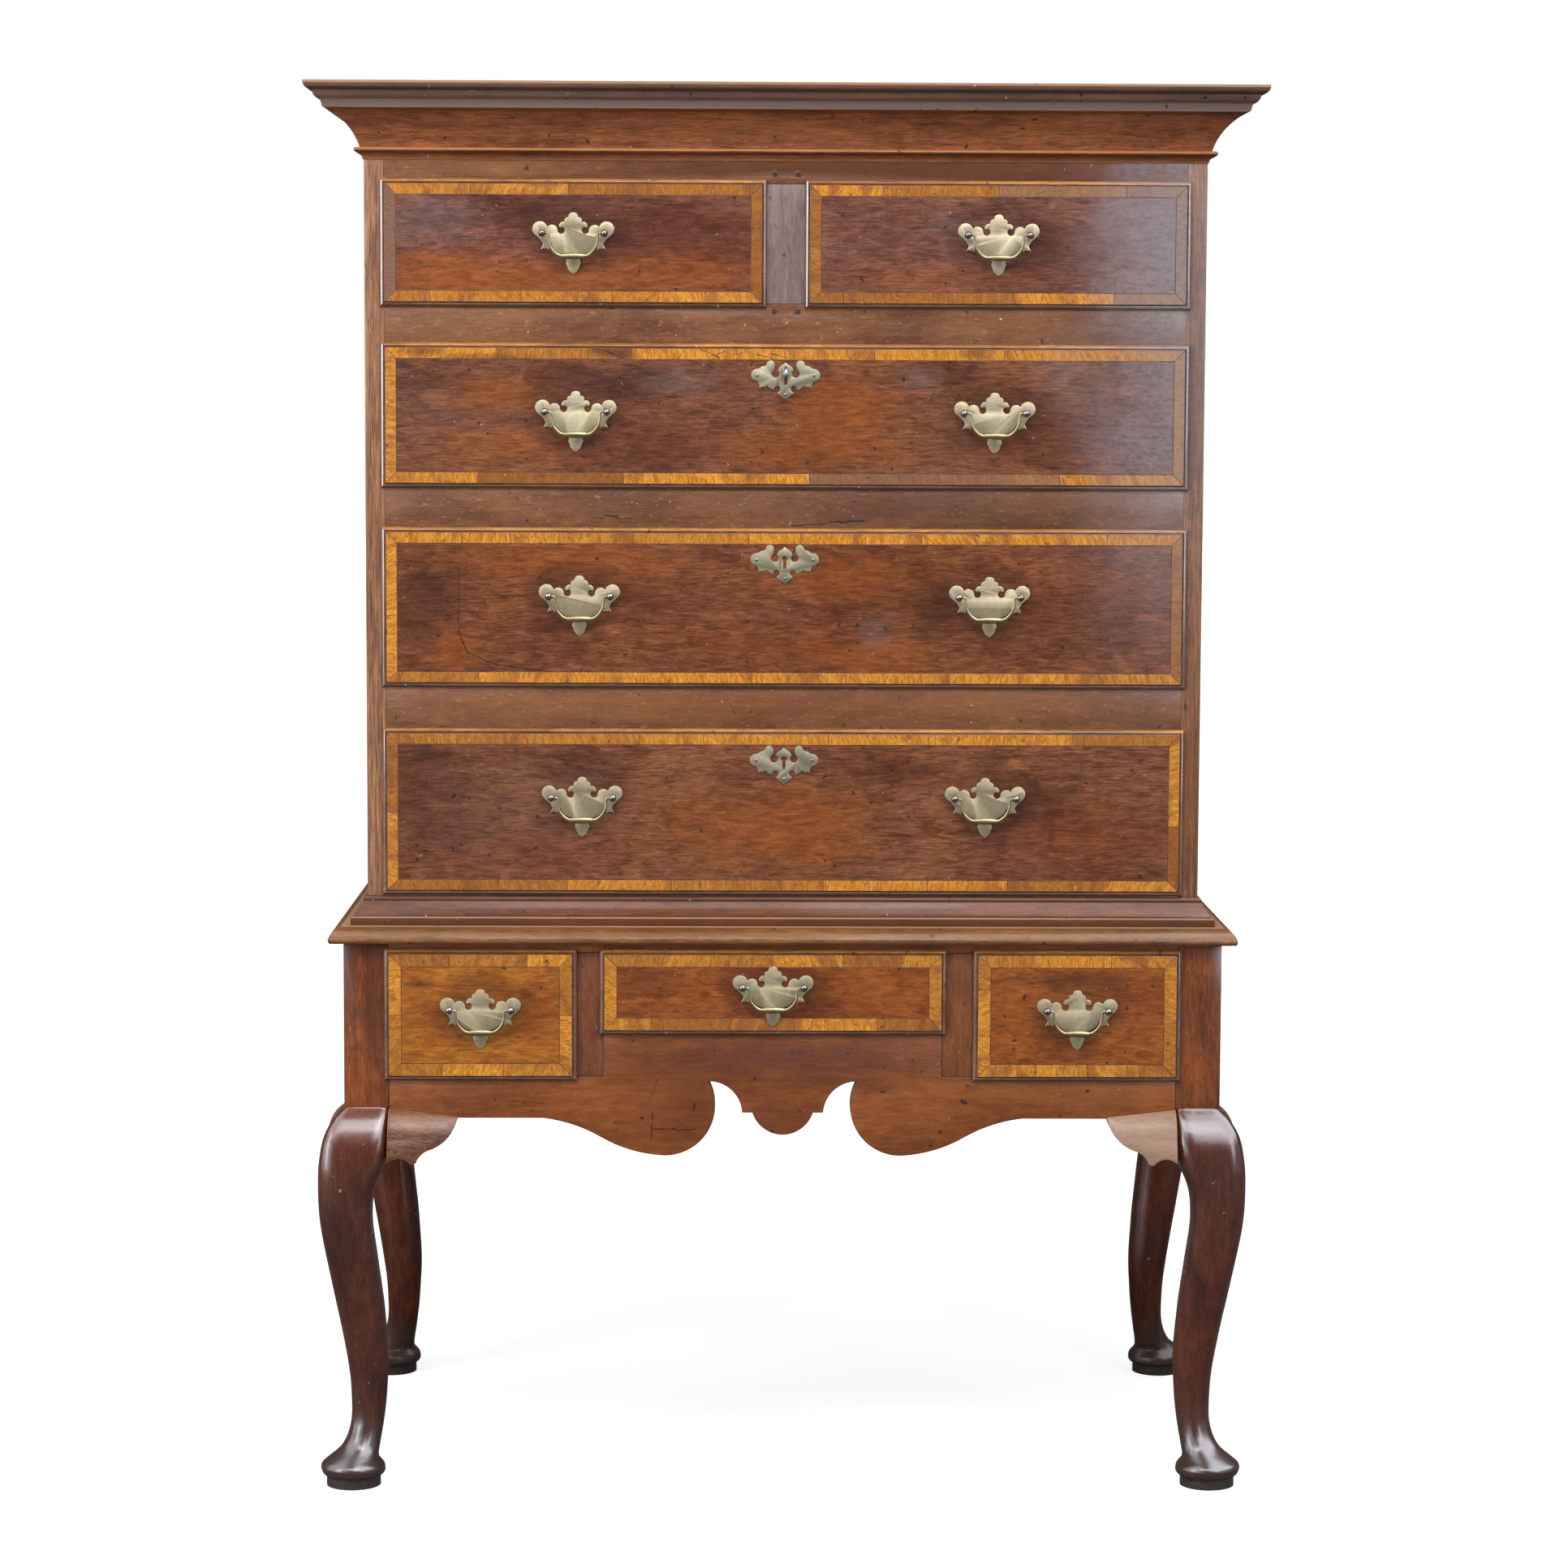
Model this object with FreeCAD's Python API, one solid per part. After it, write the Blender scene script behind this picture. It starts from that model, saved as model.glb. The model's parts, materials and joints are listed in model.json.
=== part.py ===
import FreeCAD, Part
import math
import os

from FreeCAD import Vector

# Tall chest of drawers: an upper case of five drawers that stands inside a moulding on a
# separate stand with three drawers and four cabriole legs. Millimetres, +Z up, floor at Z = 0,
# X = 0 on the centre line, front towards -Y, Y = 0 halfway between foremost and rearmost point.

# Upper case
CASE_WIDTH = 943.0
CASE_DEPTH = 530.0
SIDE_THICK = 22.0
TOP_THICK = 16.0
BOTTOM_THICK = 18.0
BACK_THICK = 10.0
BACK_PLANKS = 4
RAIL_THICK = 22.0
FRIEZE_TO_TOP = 108.1      # top of the highest drawer openings up to the top of the case
BOTTOM_RAIL = 37.8         # case bottom up to the lowest opening
OPENINGS = (133.3, 153.6, 171.5, 180.6)    # opening heights, top row first
RAILS = (48.8, 52.8, 55.1)                 # rails between the rows, top first
CENTRE_UPRIGHT = 51.7      # width of the upright between the two top drawers

# Stand
STAND_OVER = 25.5          # posts beyond the sides of the case
STAND_PROUD = 25.0         # posts ahead of the front of the case
STAND_BEHIND = 5.0         # posts behind the back of the case
POST = 50.0
LEG_HEIGHT = 437.0         # floor to the foot of the square post
APRON_HANG = 11.5          # straight lower edge of the apron below the foot of the post
APRON_RISE = 36.6          # sill of the outer drawers above the foot of the post
CENTRE_SILL = 52.6         # sill of the centre drawer above the sill of the outer drawers
OUTER_OPENING = 141.4      # height of the two outer openings
FRAME_THICK = 18.5         # moulded frame on top of the posts
FRAME_WIDTH = 100.0
FRAME_OUT = 41.7           # its thumb moulding ahead of the case
DUST_BOARD = 8.0
BOARD = 20.0               # apron, sides and back of the stand
BOARD_SETBACK = 1.0        # stand boards behind the faces of the posts
STAND_TOP_RAIL = 11.3
LEFT_UPRIGHT = (-237.5, -203.5)
RIGHT_UPRIGHT = (180.5, 219.5)

# Mouldings
CORNICE_OUT = 61.5
CORNICE_DEPTH = 83.0       # top of the case down to the foot of the bead
WAIST_OUT = 18.0
WAIST_HEIGHT = 32.0

# Apron shaping, measured from the centre line and from the straight lower edge
PENDANT_HALF = 34.5
PENDANT_DROP = 19.0
STEP_RISE = 6.5
STEP_HALF = 46.0
NOTCH_X = 84.0
NOTCH_RISE = 42.5
LOBE_X = 134.0
LOBE_RADIUS = 57.5
LOBE_RISE = 14.5           # centre of the lobe above the straight edge
OGEE_X = 207.0
OGEE_DROP = 21.5
OGEE_END = 272.0

# Knee brackets
BRACKET_LENGTH = 78.0
BRACKET_DROP = 49.5

# Drawers
LIP = 4.5                  # lip laid over the frame round each opening
LIP_GAP = 0.3
LIP_THICK = 4.9
LIP_EDGE = 5.7             # width of the rounded edge outside the banding
FIELD_RISE = 1.1
FRONT_THICK = 16.0         # part of the front that goes into the opening
BAND_LONG = 12.5           # crossbanding on the upper drawers
BAND_STAND = 14.5
SIDE_CLEAR = 1.5
TOP_CLEAR = 2.0
RUN_GAP = 0.3
DRAWER_SIDE = 10.0
DRAWER_SHORT = 50.0        # drawers shorter than the case is deep
DRAWER_BOTTOM = 7.0
BOTTOM_LIFT = 9.0
GROOVE = 4.0
SIDE_DROP = 8.0            # drawer sides below the top of the opening
RUNNER_WIDE = 20.0
RUNNER_THICK = 18.0
GUIDE_HIGH = 50.0

# Handles
POST_HALF = 34.7           # half the distance between the two posts of a handle
PLATE_THICK = 1.6
HEAD_RADIUS = 4.2
HEAD_OUT = 8.2             # centre of the ball head ahead of the plate
SHANK_RADIUS = 2.4
NECK_RADIUS = 3.0
NUT_RADIUS = 6.0
NUT_THICK = 4.0
SCREW_CLEAR = 0.1
ARM_INSET = 7.2            # arms of the bail inside the posts
BAIL_DROP = 25.4
GRIP_HALF = 12.5
GRIP_RADIUS = 2.9
STUB_RADIUS = 1.4
STUB_CLEAR = 0.1
STUB_SEAT = 2.4            # stub inside the ball head
BAIL_CORNER = 10.0         # radius where the arm turns into the grip

# Locks
KEY_DROP = 34.0            # key axis below the top edge of the drawer lip
KEYHOLE_RADIUS = 3.2
KEYHOLE_SLOT = 3.6
KEYHOLE_LENGTH = 11.5
ESCUTCHEON_THICK = 1.4
PIN_RADIUS = 1.7
CASE_HALF = 30.0
LOCK_WALL = 2.0
LOCK_DEPTH = 14.0
LOCK_MORTISE = 8.0         # depth of the pocket in the back of the drawer front
LOCK_BELOW = 22.0
BOLT_HALF = 12.0
BOLT_THICK = 5.6
BOLT_LIFT = 7.0
BOLT_REST = 3.4            # foot of the bolt above the key axis when unlocked
BOLT_CLEAR = 0.3
KEY_RADIUS = 2.9
KEY_BIT = 9.0
KEY_BIT_WIDE = 2.6
KEY_BIT_LONG = 5.0
KEY_REACH = 30.0           # key ahead of the escutcheon
BOW_HALF_HIGH = 9.2
BOW_HALF_LONG = 11.0
BOW_THICK = 3.6
BOW_RING = 3.6             # width of metal round the bow
BOW_ROUND = 1.2
PEG_RADIUS = 3.8
PEG_PROUD = 0.5
PEG_SPACING = 26.0

# Places that follow from the sizes above
KNEE_OUT = 30.0            # nominal reach of knee and foot beyond the faces of the post
STAND_DEPTH = STAND_PROUD + CASE_DEPTH + STAND_BEHIND
TOTAL_DEPTH = CORNICE_OUT - STAND_PROUD + STAND_DEPTH + KNEE_OUT
CASE_FRONT = CORNICE_OUT - TOTAL_DEPTH / 2
CASE_BACK = CASE_FRONT + CASE_DEPTH
CASE_HALF_WIDTH = CASE_WIDTH / 2
INNER_HALF = CASE_HALF_WIDTH - SIDE_THICK
APRON_FOOT = LEG_HEIGHT - APRON_HANG
SMALL_OPENING_FOOT = LEG_HEIGHT + APRON_RISE
CENTRE_OPENING_FOOT = SMALL_OPENING_FOOT + CENTRE_SILL
STAND_OPENING_TOP = SMALL_OPENING_FOOT + OUTER_OPENING
POST_TOP = STAND_OPENING_TOP + STAND_TOP_RAIL
CASE_FOOT = POST_TOP + FRAME_THICK
CASE_TOP = CASE_FOOT + BOTTOM_RAIL + sum(OPENINGS) + sum(RAILS) + FRIEZE_TO_TOP
STAND_FRONT = CASE_FRONT - STAND_PROUD
STAND_BACK = STAND_FRONT + STAND_DEPTH
STAND_HALF = CASE_HALF_WIDTH + STAND_OVER
POST_INNER = STAND_HALF - POST
DRAWER_DEPTH = CASE_DEPTH - DRAWER_SHORT
BAIL_HALF = POST_HALF - ARM_INSET

saved = []


def save(shapes, node):
    """Write one named piece, or a group of like pieces, and remember its name."""
    solids = []
    for shape in shapes:
        solids.extend(shape.Solids)
    Part.makeCompound(solids).exportStep("parts/" + node + ".step")
    saved.append(node)


def block(x0, x1, y0, y1, z0, z1):
    return Part.makeBox(x1 - x0, y1 - y0, z1 - z0, Vector(x0, y0, z0))


def wire(path, place):
    """Closed wire. A plain point is reached by a line, a pair of points by an arc through the first."""
    edges = []
    here = path[0]
    for step in path[1:] + [path[0]]:
        if isinstance(step[0], tuple):
            end = step[1]
            edges.append(Part.Arc(place(*here), place(*step[0]), place(*end)).toShape())
        else:
            end = step
            if end != here:
                edges.append(Part.makeLine(place(*here), place(*end)))
        here = end
    return Part.Wire(edges)


def front_prism(path, y0, y1):
    """Outline in the front view, X and Z, given thickness from y0 to y1."""
    face = Part.Face(wire(path, lambda x, z: Vector(x, y0, z)))
    return face.extrude(Vector(0, y1 - y0, 0))


def plan_prism(path, z0, z1):
    """Outline in the plan, X and Y, given height from z0 to z1."""
    face = Part.Face(wire(path, lambda x, y: Vector(x, y, z0)))
    return face.extrude(Vector(0, 0, z1 - z0))


def mirrored(shape, normal, at=Vector(0, 0, 0)):
    return shape.mirror(at, normal)


def both_sides(path):
    """Right half of an outline, bottom centre to top centre, completed with its mirror image."""
    full = list(path)
    ends = [step[1] if isinstance(step[0], tuple) else step for step in path]
    for index in range(len(path) - 1, 0, -1):
        end = ends[index - 1]
        if isinstance(path[index][0], tuple):
            middle = path[index][0]
            full.append(((-middle[0], middle[1]), (-end[0], end[1])))
        else:
            full.append((-end[0], end[1]))
    return full


def moulding(path, half_width, y_front, y_back, inner, outer, z0, z1):
    """Front, right and left lengths of one moulding, mitred at the front corners.

    The path gives distance outwards from the plane half_width or y_front, and height."""
    run = half_width + outer
    face = Part.Face(wire(path, lambda out, z: Vector(-run, y_front - out, z)))
    front = face.extrude(Vector(2 * run, 0, 0))
    near = half_width - inner
    mitre = [(-near, y_front + inner), (near, y_front + inner), (run, y_front - outer),
             (-run, y_front - outer)]
    front = front.common(plan_prism(mitre, z0, z1))
    face = Part.Face(wire(path, lambda out, z: Vector(half_width + out, y_front - outer, z)))
    right = face.extrude(Vector(0, y_back - y_front + outer, 0))
    mitre = [(near, y_front + inner), (run, y_front - outer), (run, y_back), (near, y_back)]
    right = right.common(plan_prism(mitre, z0, z1))
    return [front, right, mirrored(right, Vector(1, 0, 0))]


# ---------------------------------------------------------------- upper case

def row_feet():
    """Lower edge of each row of openings, top row first."""
    feet = []
    height = CASE_TOP - FRIEZE_TO_TOP
    for index, opening in enumerate(OPENINGS):
        height -= opening
        feet.append(height)
        if index < len(RAILS):
            height -= RAILS[index]
    return feet


ROW_FEET = row_feet()


def side_boards():
    right = block(INNER_HALF, CASE_HALF_WIDTH, CASE_FRONT, CASE_BACK, CASE_FOOT, CASE_TOP - TOP_THICK)
    return [right, mirrored(right, Vector(1, 0, 0))]


def top_and_bottom_boards():
    top = block(-CASE_HALF_WIDTH, CASE_HALF_WIDTH, CASE_FRONT, CASE_BACK, CASE_TOP - TOP_THICK, CASE_TOP)
    bottom = block(-INNER_HALF, INNER_HALF, CASE_FRONT + RAIL_THICK, CASE_BACK - BACK_THICK,
                   CASE_FOOT, CASE_FOOT + BOTTOM_THICK)
    return [top, bottom]


def back_boards():
    planks = []
    width = 2 * INNER_HALF / BACK_PLANKS
    for index in range(BACK_PLANKS):
        left = -INNER_HALF + index * width
        planks.append(block(left, left + width, CASE_BACK - BACK_THICK, CASE_BACK,
                            CASE_FOOT, CASE_TOP - TOP_THICK))
    return planks


def bolt_mortise(x, z_rail):
    """Space that a raised lock bolt enters in the rail above its drawer."""
    y0 = CASE_FRONT + FRONT_THICK - LOCK_MORTISE + LOCK_WALL
    wide = BOLT_HALF + 1.0
    return block(x - wide, x + wide, y0 - 1.0, y0 + BOLT_THICK + 2 * BOLT_CLEAR + 1.0,
                 z_rail, z_rail + BOLT_LIFT + 2.0)


def front_rails():
    """Frieze rail, three rails between the rows and the bottom rail, with the bolt mortises."""
    y0 = CASE_FRONT
    y1 = CASE_FRONT + RAIL_THICK
    rails = [block(-INNER_HALF, INNER_HALF, y0, y1, CASE_TOP - FRIEZE_TO_TOP, CASE_TOP - TOP_THICK)]
    for index, high in enumerate(RAILS):
        foot = ROW_FEET[index] - high
        rail = block(-INNER_HALF, INNER_HALF, y0, y1, foot, ROW_FEET[index])
        rails.append(rail.cut(bolt_mortise(0, foot)))
    rails.append(block(-INNER_HALF, INNER_HALF, y0, y1, CASE_FOOT, ROW_FEET[-1]))
    holes = Part.makeCompound([peg.Solids[0] for peg in pegs()])
    return [rail.cut(holes) for rail in rails]


def centre_upright():
    half = CENTRE_UPRIGHT / 2
    foot = ROW_FEET[0]
    return [block(-half, half, CASE_FRONT, CASE_FRONT + RAIL_THICK, foot, foot + OPENINGS[0])]


def pegs():
    """Oak pegs through the tenons at the head and foot of the centre upright."""
    made = []
    for z in (ROW_FEET[0] - 2 * PEG_RADIUS, ROW_FEET[0] + OPENINGS[0] + 3 * PEG_RADIUS):
        for side in (-1, 1):
            made.append(Part.makeCylinder(PEG_RADIUS, RAIL_THICK / 2 + PEG_PROUD,
                                          Vector(side * PEG_SPACING / 2, CASE_FRONT - PEG_PROUD, z),
                                          Vector(0, 1, 0)))
    return made


def case_runners():
    """Runners along the sides for every row, and the runner and guide behind the centre upright."""
    y0 = CASE_FRONT + RAIL_THICK
    y1 = CASE_BACK - BACK_THICK
    made = []
    for foot in ROW_FEET:
        right = block(INNER_HALF - RUNNER_WIDE, INNER_HALF, y0, y1, foot - RUNNER_THICK, foot)
        made += [right, mirrored(right, Vector(1, 0, 0))]
    guide = CENTRE_UPRIGHT / 2 - 0.5
    wing = CENTRE_UPRIGHT / 2 + RUNNER_WIDE
    foot = ROW_FEET[0]
    tee = block(-wing, wing, y0, y1, foot - RUNNER_THICK, foot)
    made.append(tee.fuse(block(-guide, guide, y0, y1, foot, foot + GUIDE_HIGH)).removeSplitter())
    return made


def cornice_profile():
    """Fillet, ovolo, cyma, fillet, deep cove and bead, from the top down."""
    out = CORNICE_OUT
    z = CASE_TOP
    bead = z - CORNICE_DEPTH + 13.0
    return [(0, z), (out, z), (out, z - 2.5),
            ((out - 2.6, z - 7.6), (out - 9.5, z - 10.0)),
            ((out - 12.0, z - 17.0), (out - 17.5, z - 20.0)),
            (out - 19.5, z - 27.5), (out - 26.5, z - 31.0),
            ((14.5, bead + 21.0), (4.0, bead)),
            (8.5, bead), ((10.2, bead - 2.6), (8.5, bead - 5.2)), (6.5, bead - 6.5),
            ((2.8, bead - 8.5), (1.2, bead - 13.0)), (0, bead - 13.0)]


def cornice():
    return moulding(cornice_profile(), CASE_HALF_WIDTH, CASE_FRONT, CASE_BACK,
                    0, CORNICE_OUT, CASE_TOP - CORNICE_DEPTH, CASE_TOP)


# ---------------------------------------------------------------- stand

def waist_moulding():
    z = CASE_FOOT
    top = z + WAIST_HEIGHT
    path = [(0, z), (WAIST_OUT, z), (WAIST_OUT, z + 8.5), ((10.8, z + 15.5), (5.5, top - 6.5)),
            (4.5, top - 6.0), ((3.8, top - 1.4), (2.0, top)), (0, top)]
    return moulding(path, CASE_HALF_WIDTH, CASE_FRONT, CASE_BACK, 0, WAIST_OUT, z, top)


def stand_top_frame():
    """Frame with a thumb-moulded edge on three sides, a plain back rail and a dust board."""
    foot = POST_TOP
    top = CASE_FOOT
    out = FRAME_OUT
    inner = FRAME_WIDTH - out
    path = [(-inner, foot), (out - 1.8, foot), ((out - 0.2, foot + 2.2), (out, foot + 5.2)),
            ((out - 4.3, foot + 12.8), (out - 14.5, top)), (-inner, top)]
    made = moulding(path, CASE_HALF_WIDTH, CASE_FRONT, STAND_BACK, inner, out, foot, top)
    near = CASE_HALF_WIDTH - inner
    front = CASE_FRONT + inner
    made.append(block(-near, near, STAND_BACK - FRAME_WIDTH, STAND_BACK, foot, top))
    middle = (foot + top) / 2
    made.append(block(-near, near, front, STAND_BACK - FRAME_WIDTH, middle, middle + DUST_BOARD))
    return made


# Cabriole leg: height as a share of LEG_HEIGHT, shift of the section outwards from the post along
# both X and Y, half width of the section, and how square it is (2 is round). The last station
# lies inside the post.
LEG_STATIONS = (
    (0.000, 17.3, 28.8, 2.0), (0.012, 17.3, 30.8, 2.0), (0.027, 17.4, 33.8, 2.0),
    (0.042, 17.7, 36.4, 2.0), (0.052, 18.0, 36.4, 2.0), (0.062, 18.1, 33.8, 2.0),
    (0.071, 17.4, 29.6, 2.0), (0.082, 14.6, 25.8, 2.0), (0.095, 10.8, 22.6, 2.0),
    (0.113, 7.4, 20.4, 2.0), (0.137, 4.4, 19.2, 2.0), (0.170, 2.0, 18.9, 2.0),
    (0.215, 0.7, 19.9, 2.05), (0.275, 0.5, 21.5, 2.1), (0.343, 2.0, 24.0, 2.2),
    (0.412, 5.4, 25.7, 2.3), (0.480, 9.4, 27.2, 2.45), (0.550, 14.0, 28.2, 2.6),
    (0.618, 18.5, 29.0, 2.8), (0.680, 22.4, 29.4, 3.0), (0.735, 24.0, 30.2, 3.2),
    (0.785, 23.2, 31.7, 3.5), (0.830, 19.5, 35.3, 4.0), (0.868, 15.6, 37.8, 4.6),
    (0.905, 13.2, 37.6, 5.2), (0.938, 10.9, 35.3, 6.0), (0.962, 7.9, 32.3, 7.0),
    (0.982, 4.7, 29.1, 8.0), (1.000, 0.6, 24.8, 9.0), (1.010, 0.2, 24.2, 9.0))


def leg_section(share, shift, half, square):
    """Closed smooth curve between a circle and a square, centred outwards of the post."""
    count = 32
    centre_x = STAND_HALF - POST / 2 + shift
    centre_y = STAND_FRONT + POST / 2 - shift
    points = []
    for index in range(count):
        angle = 2 * math.pi * index / count
        c = math.cos(angle)
        s = math.sin(angle)
        radius = half / (abs(c) ** square + abs(s) ** square) ** (1 / square)
        points.append(Vector(centre_x + radius * c, centre_y + radius * s, share * LEG_HEIGHT))
    curve = Part.BSplineCurve()
    knots = [index / count for index in range(count + 1)]
    curve.interpolate(Points=points, PeriodicFlag=True, Parameters=knots)
    return Part.Wire([curve.toShape()])


def leg():
    """Front right leg: square post, knee, ankle and pad foot in one piece of oak."""
    scale = POST / 50.0
    sections = [leg_section(share, shift * scale, half * scale, square)
                for share, shift, half, square in LEG_STATIONS]
    turned = Part.makeLoft(sections, True, False)
    post = block(POST_INNER, STAND_HALF, STAND_FRONT, STAND_FRONT + POST, LEG_HEIGHT, POST_TOP)
    return post.fuse(turned).removeSplitter()


def to_back(shape):
    return mirrored(shape, Vector(0, 1, 0), Vector(0, STAND_FRONT + STAND_DEPTH / 2, 0))


def apron_path():
    """Outline of the apron: pendant, two lobes, ogee shoulders and the raised centre of its top."""
    z = APRON_FOOT
    lobe = z + LOBE_RISE
    turn = math.radians(30)
    notch_radius = NOTCH_X - STEP_HALF
    slant = notch_radius * math.sin(math.radians(45))
    foot = lobe - LOBE_RADIUS
    right = [(0, z - PENDANT_DROP),
             ((PENDANT_HALF * 0.62, z - PENDANT_DROP * 0.62), (PENDANT_HALF, z + STEP_RISE)),
             (STEP_HALF, z + STEP_RISE),
             ((NOTCH_X - slant, z + NOTCH_RISE - notch_radius + slant), (NOTCH_X, z + NOTCH_RISE)),
             ((LOBE_X - LOBE_RADIUS * math.cos(turn), lobe - LOBE_RADIUS * math.sin(turn)), (LOBE_X, foot)),
             ((LOBE_X + 38.0, foot + 6.3), (OGEE_X, z - OGEE_DROP)),
             ((OGEE_X + 31.0, z - 7.6), (OGEE_END, z)),
             (POST_INNER, z), (POST_INNER, SMALL_OPENING_FOOT)]
    full = both_sides(right)[:-1]
    tail = full[len(right):]
    raised = [(RIGHT_UPRIGHT[0], SMALL_OPENING_FOOT), (RIGHT_UPRIGHT[0], CENTRE_OPENING_FOOT),
              (LEFT_UPRIGHT[1], CENTRE_OPENING_FOOT), (LEFT_UPRIGHT[1], SMALL_OPENING_FOOT),
              (-POST_INNER, SMALL_OPENING_FOOT)]
    last = ((-PENDANT_HALF * 0.62, z - PENDANT_DROP * 0.62), (0, z - PENDANT_DROP))
    return right + raised + tail + [last]


def apron():
    y0 = STAND_FRONT + BOARD_SETBACK
    return [front_prism(apron_path(), y0, y0 + BOARD)]


def stand_rail_and_uprights():
    y0 = STAND_FRONT + BOARD_SETBACK
    y1 = y0 + BOARD
    made = [block(-POST_INNER, POST_INNER, y0, y1, STAND_OPENING_TOP, POST_TOP)]
    for x0, x1 in (LEFT_UPRIGHT, RIGHT_UPRIGHT):
        made.append(block(x0, x1, y0, y1, SMALL_OPENING_FOOT, STAND_OPENING_TOP))
    return made


def stand_sides_and_back():
    outer = STAND_HALF - BOARD_SETBACK
    right = block(outer - BOARD, outer, STAND_FRONT + POST, STAND_BACK - POST, APRON_FOOT, POST_TOP)
    y1 = STAND_BACK - BOARD_SETBACK
    back = block(-POST_INNER, POST_INNER, y1 - BOARD, y1, APRON_FOOT, POST_TOP)
    return [right, mirrored(right, Vector(1, 0, 0)), back]


def stand_runners():
    """Runner and guide behind each post side, and a two-level runner behind each upright."""
    y0 = STAND_FRONT + POST
    y1 = STAND_BACK - BOARD_SETBACK - BOARD
    far = STAND_HALF - BOARD_SETBACK - BOARD
    low = SMALL_OPENING_FOOT
    high = CENTRE_OPENING_FOOT
    made = []
    for side in (1, -1):
        runner = block(POST_INNER - RUNNER_WIDE, far, y0, STAND_BACK - POST, low - RUNNER_THICK, low)
        guide = block(POST_INNER + 0.5, far, y0, STAND_BACK - POST, low, low + GUIDE_HIGH)
        piece = runner.fuse(guide).removeSplitter()
        made.append(piece if side > 0 else mirrored(piece, Vector(1, 0, 0)))
    y0 = STAND_FRONT + BOARD_SETBACK + BOARD
    for upright, outward in ((LEFT_UPRIGHT, -1), (RIGHT_UPRIGHT, 1)):
        x0, x1 = upright
        guide = block(x0 + 0.5, x1 - 0.5, y0, y1, low - RUNNER_THICK, high + GUIDE_HIGH)
        outer_x = x0 if outward < 0 else x1
        inner_x = x1 if outward < 0 else x0
        small = sorted((outer_x - outward * 1.0, outer_x + outward * RUNNER_WIDE))
        centre = sorted((inner_x + outward * 1.0, inner_x - outward * RUNNER_WIDE))
        small_runner = block(small[0], small[1], y0, y1, low - RUNNER_THICK, low)
        centre_runner = block(centre[0], centre[1], y0, y1, high - RUNNER_THICK, high)
        made.append(guide.fuse([small_runner, centre_runner]).removeSplitter())
    return made


def knee_bracket():
    """Front right bracket: swells like the knee beside it and thins towards its tip."""
    top = LEG_HEIGHT - 1.0
    foot = APRON_FOOT - BRACKET_DROP - 6.0
    back = -(BOARD + BOARD_SETBACK)

    def section(x, share, head):
        """Swell of the bracket at x: share of the full swell, and height of its top edge."""
        path = [(back, foot), (28.0 * share, foot),
                ((27.6 * share, foot + 22.0), (22.5 * share, foot + 36.0)),
                ((15.5 * share, head - 12.0), (0.5, head)), (back, head)]
        return wire(path, lambda out, z: Vector(x, STAND_FRONT - out, z))

    x1 = POST_INNER
    x0 = POST_INNER - BRACKET_LENGTH
    body = Part.makeLoft([section(x1, 1.0, top), section(x0, 0.55, APRON_FOOT + 2.0)], True, True)
    low = APRON_FOOT - BRACKET_DROP
    path = [(x0, LEG_HEIGHT), (x0, APRON_FOOT),
            ((x0 + 8.5, APRON_FOOT - 18.5), (x0 + 28.5, APRON_FOOT - 33.0)),
            ((x0 + 39.5, APRON_FOOT - 38.5), (x0 + 45.5, low + 2.2)),
            ((x0 + 49.5, low), (x0 + 54.0, low + 2.6)),
            ((x0 + 65.0, low + 7.6), (x1, low + 2.5)), (x1, LEG_HEIGHT)]
    shaped = body.common(front_prism(path, STAND_FRONT - POST, STAND_FRONT + POST))
    board = block(0, POST_INNER, STAND_FRONT + BOARD_SETBACK, STAND_FRONT + POST, APRON_FOOT, POST_TOP)
    return shaped.cut(board)


def knee_brackets():
    """Two brackets on the front and two on each side of the stand."""
    front = knee_bracket()
    side_plane = Vector(1, 1, 0)
    corner = Vector(STAND_HALF, STAND_FRONT, 0)
    side = mirrored(front, side_plane, corner)
    made = []
    for piece in (front, side, to_back(side)):
        made += [piece, mirrored(piece, Vector(1, 0, 0))]
    return made


# ---------------------------------------------------------------- drawers

def drawer_front(x0, x1, z0, z1, face, band, holes):
    """Lipped front with its four strips of crossbanding, mitred at the corners."""
    back = face - LIP_GAP
    slab_front = back - LIP_THICK
    lip = block(x0 - LIP, x1 + LIP, slab_front, back, z0 - LIP, z1 + LIP)
    edges = [edge for edge in lip.Edges
             if all(abs(v.Point.y - slab_front) < 0.01 for v in edge.Vertexes)]
    lip = lip.makeFillet(LIP_THICK - 0.8, edges)
    inner = block(x0 + SIDE_CLEAR, x1 - SIDE_CLEAR, back, face + FRONT_THICK, z0 + RUN_GAP, z1 - TOP_CLEAR)
    inset = LIP_EDGE - LIP
    step = block(x0 + inset, x1 - inset, slab_front, back, z0 + inset, z1 - inset)
    field = block(x0 + inset + band, x1 - inset - band, slab_front - FIELD_RISE, slab_front,
                  z0 + inset + band, z1 - inset - band)
    board = lip.fuse([inner, step, field]).removeSplitter()
    outer = [(x0 + inset, z0 + inset), (x1 - inset, z0 + inset), (x1 - inset, z1 - inset),
             (x0 + inset, z1 - inset)]
    near = [(x0 + inset + band, z0 + inset + band), (x1 - inset - band, z0 + inset + band),
            (x1 - inset - band, z1 - inset - band), (x0 + inset + band, z1 - inset - band)]
    strips = []
    for index in range(4):
        after = (index + 1) % 4
        path = [outer[index], outer[after], near[after], near[index]]
        strips.append(front_prism(path, slab_front - FIELD_RISE, slab_front))
    for hole in holes:
        board = board.cut(hole)
    return [board] + strips


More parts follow.
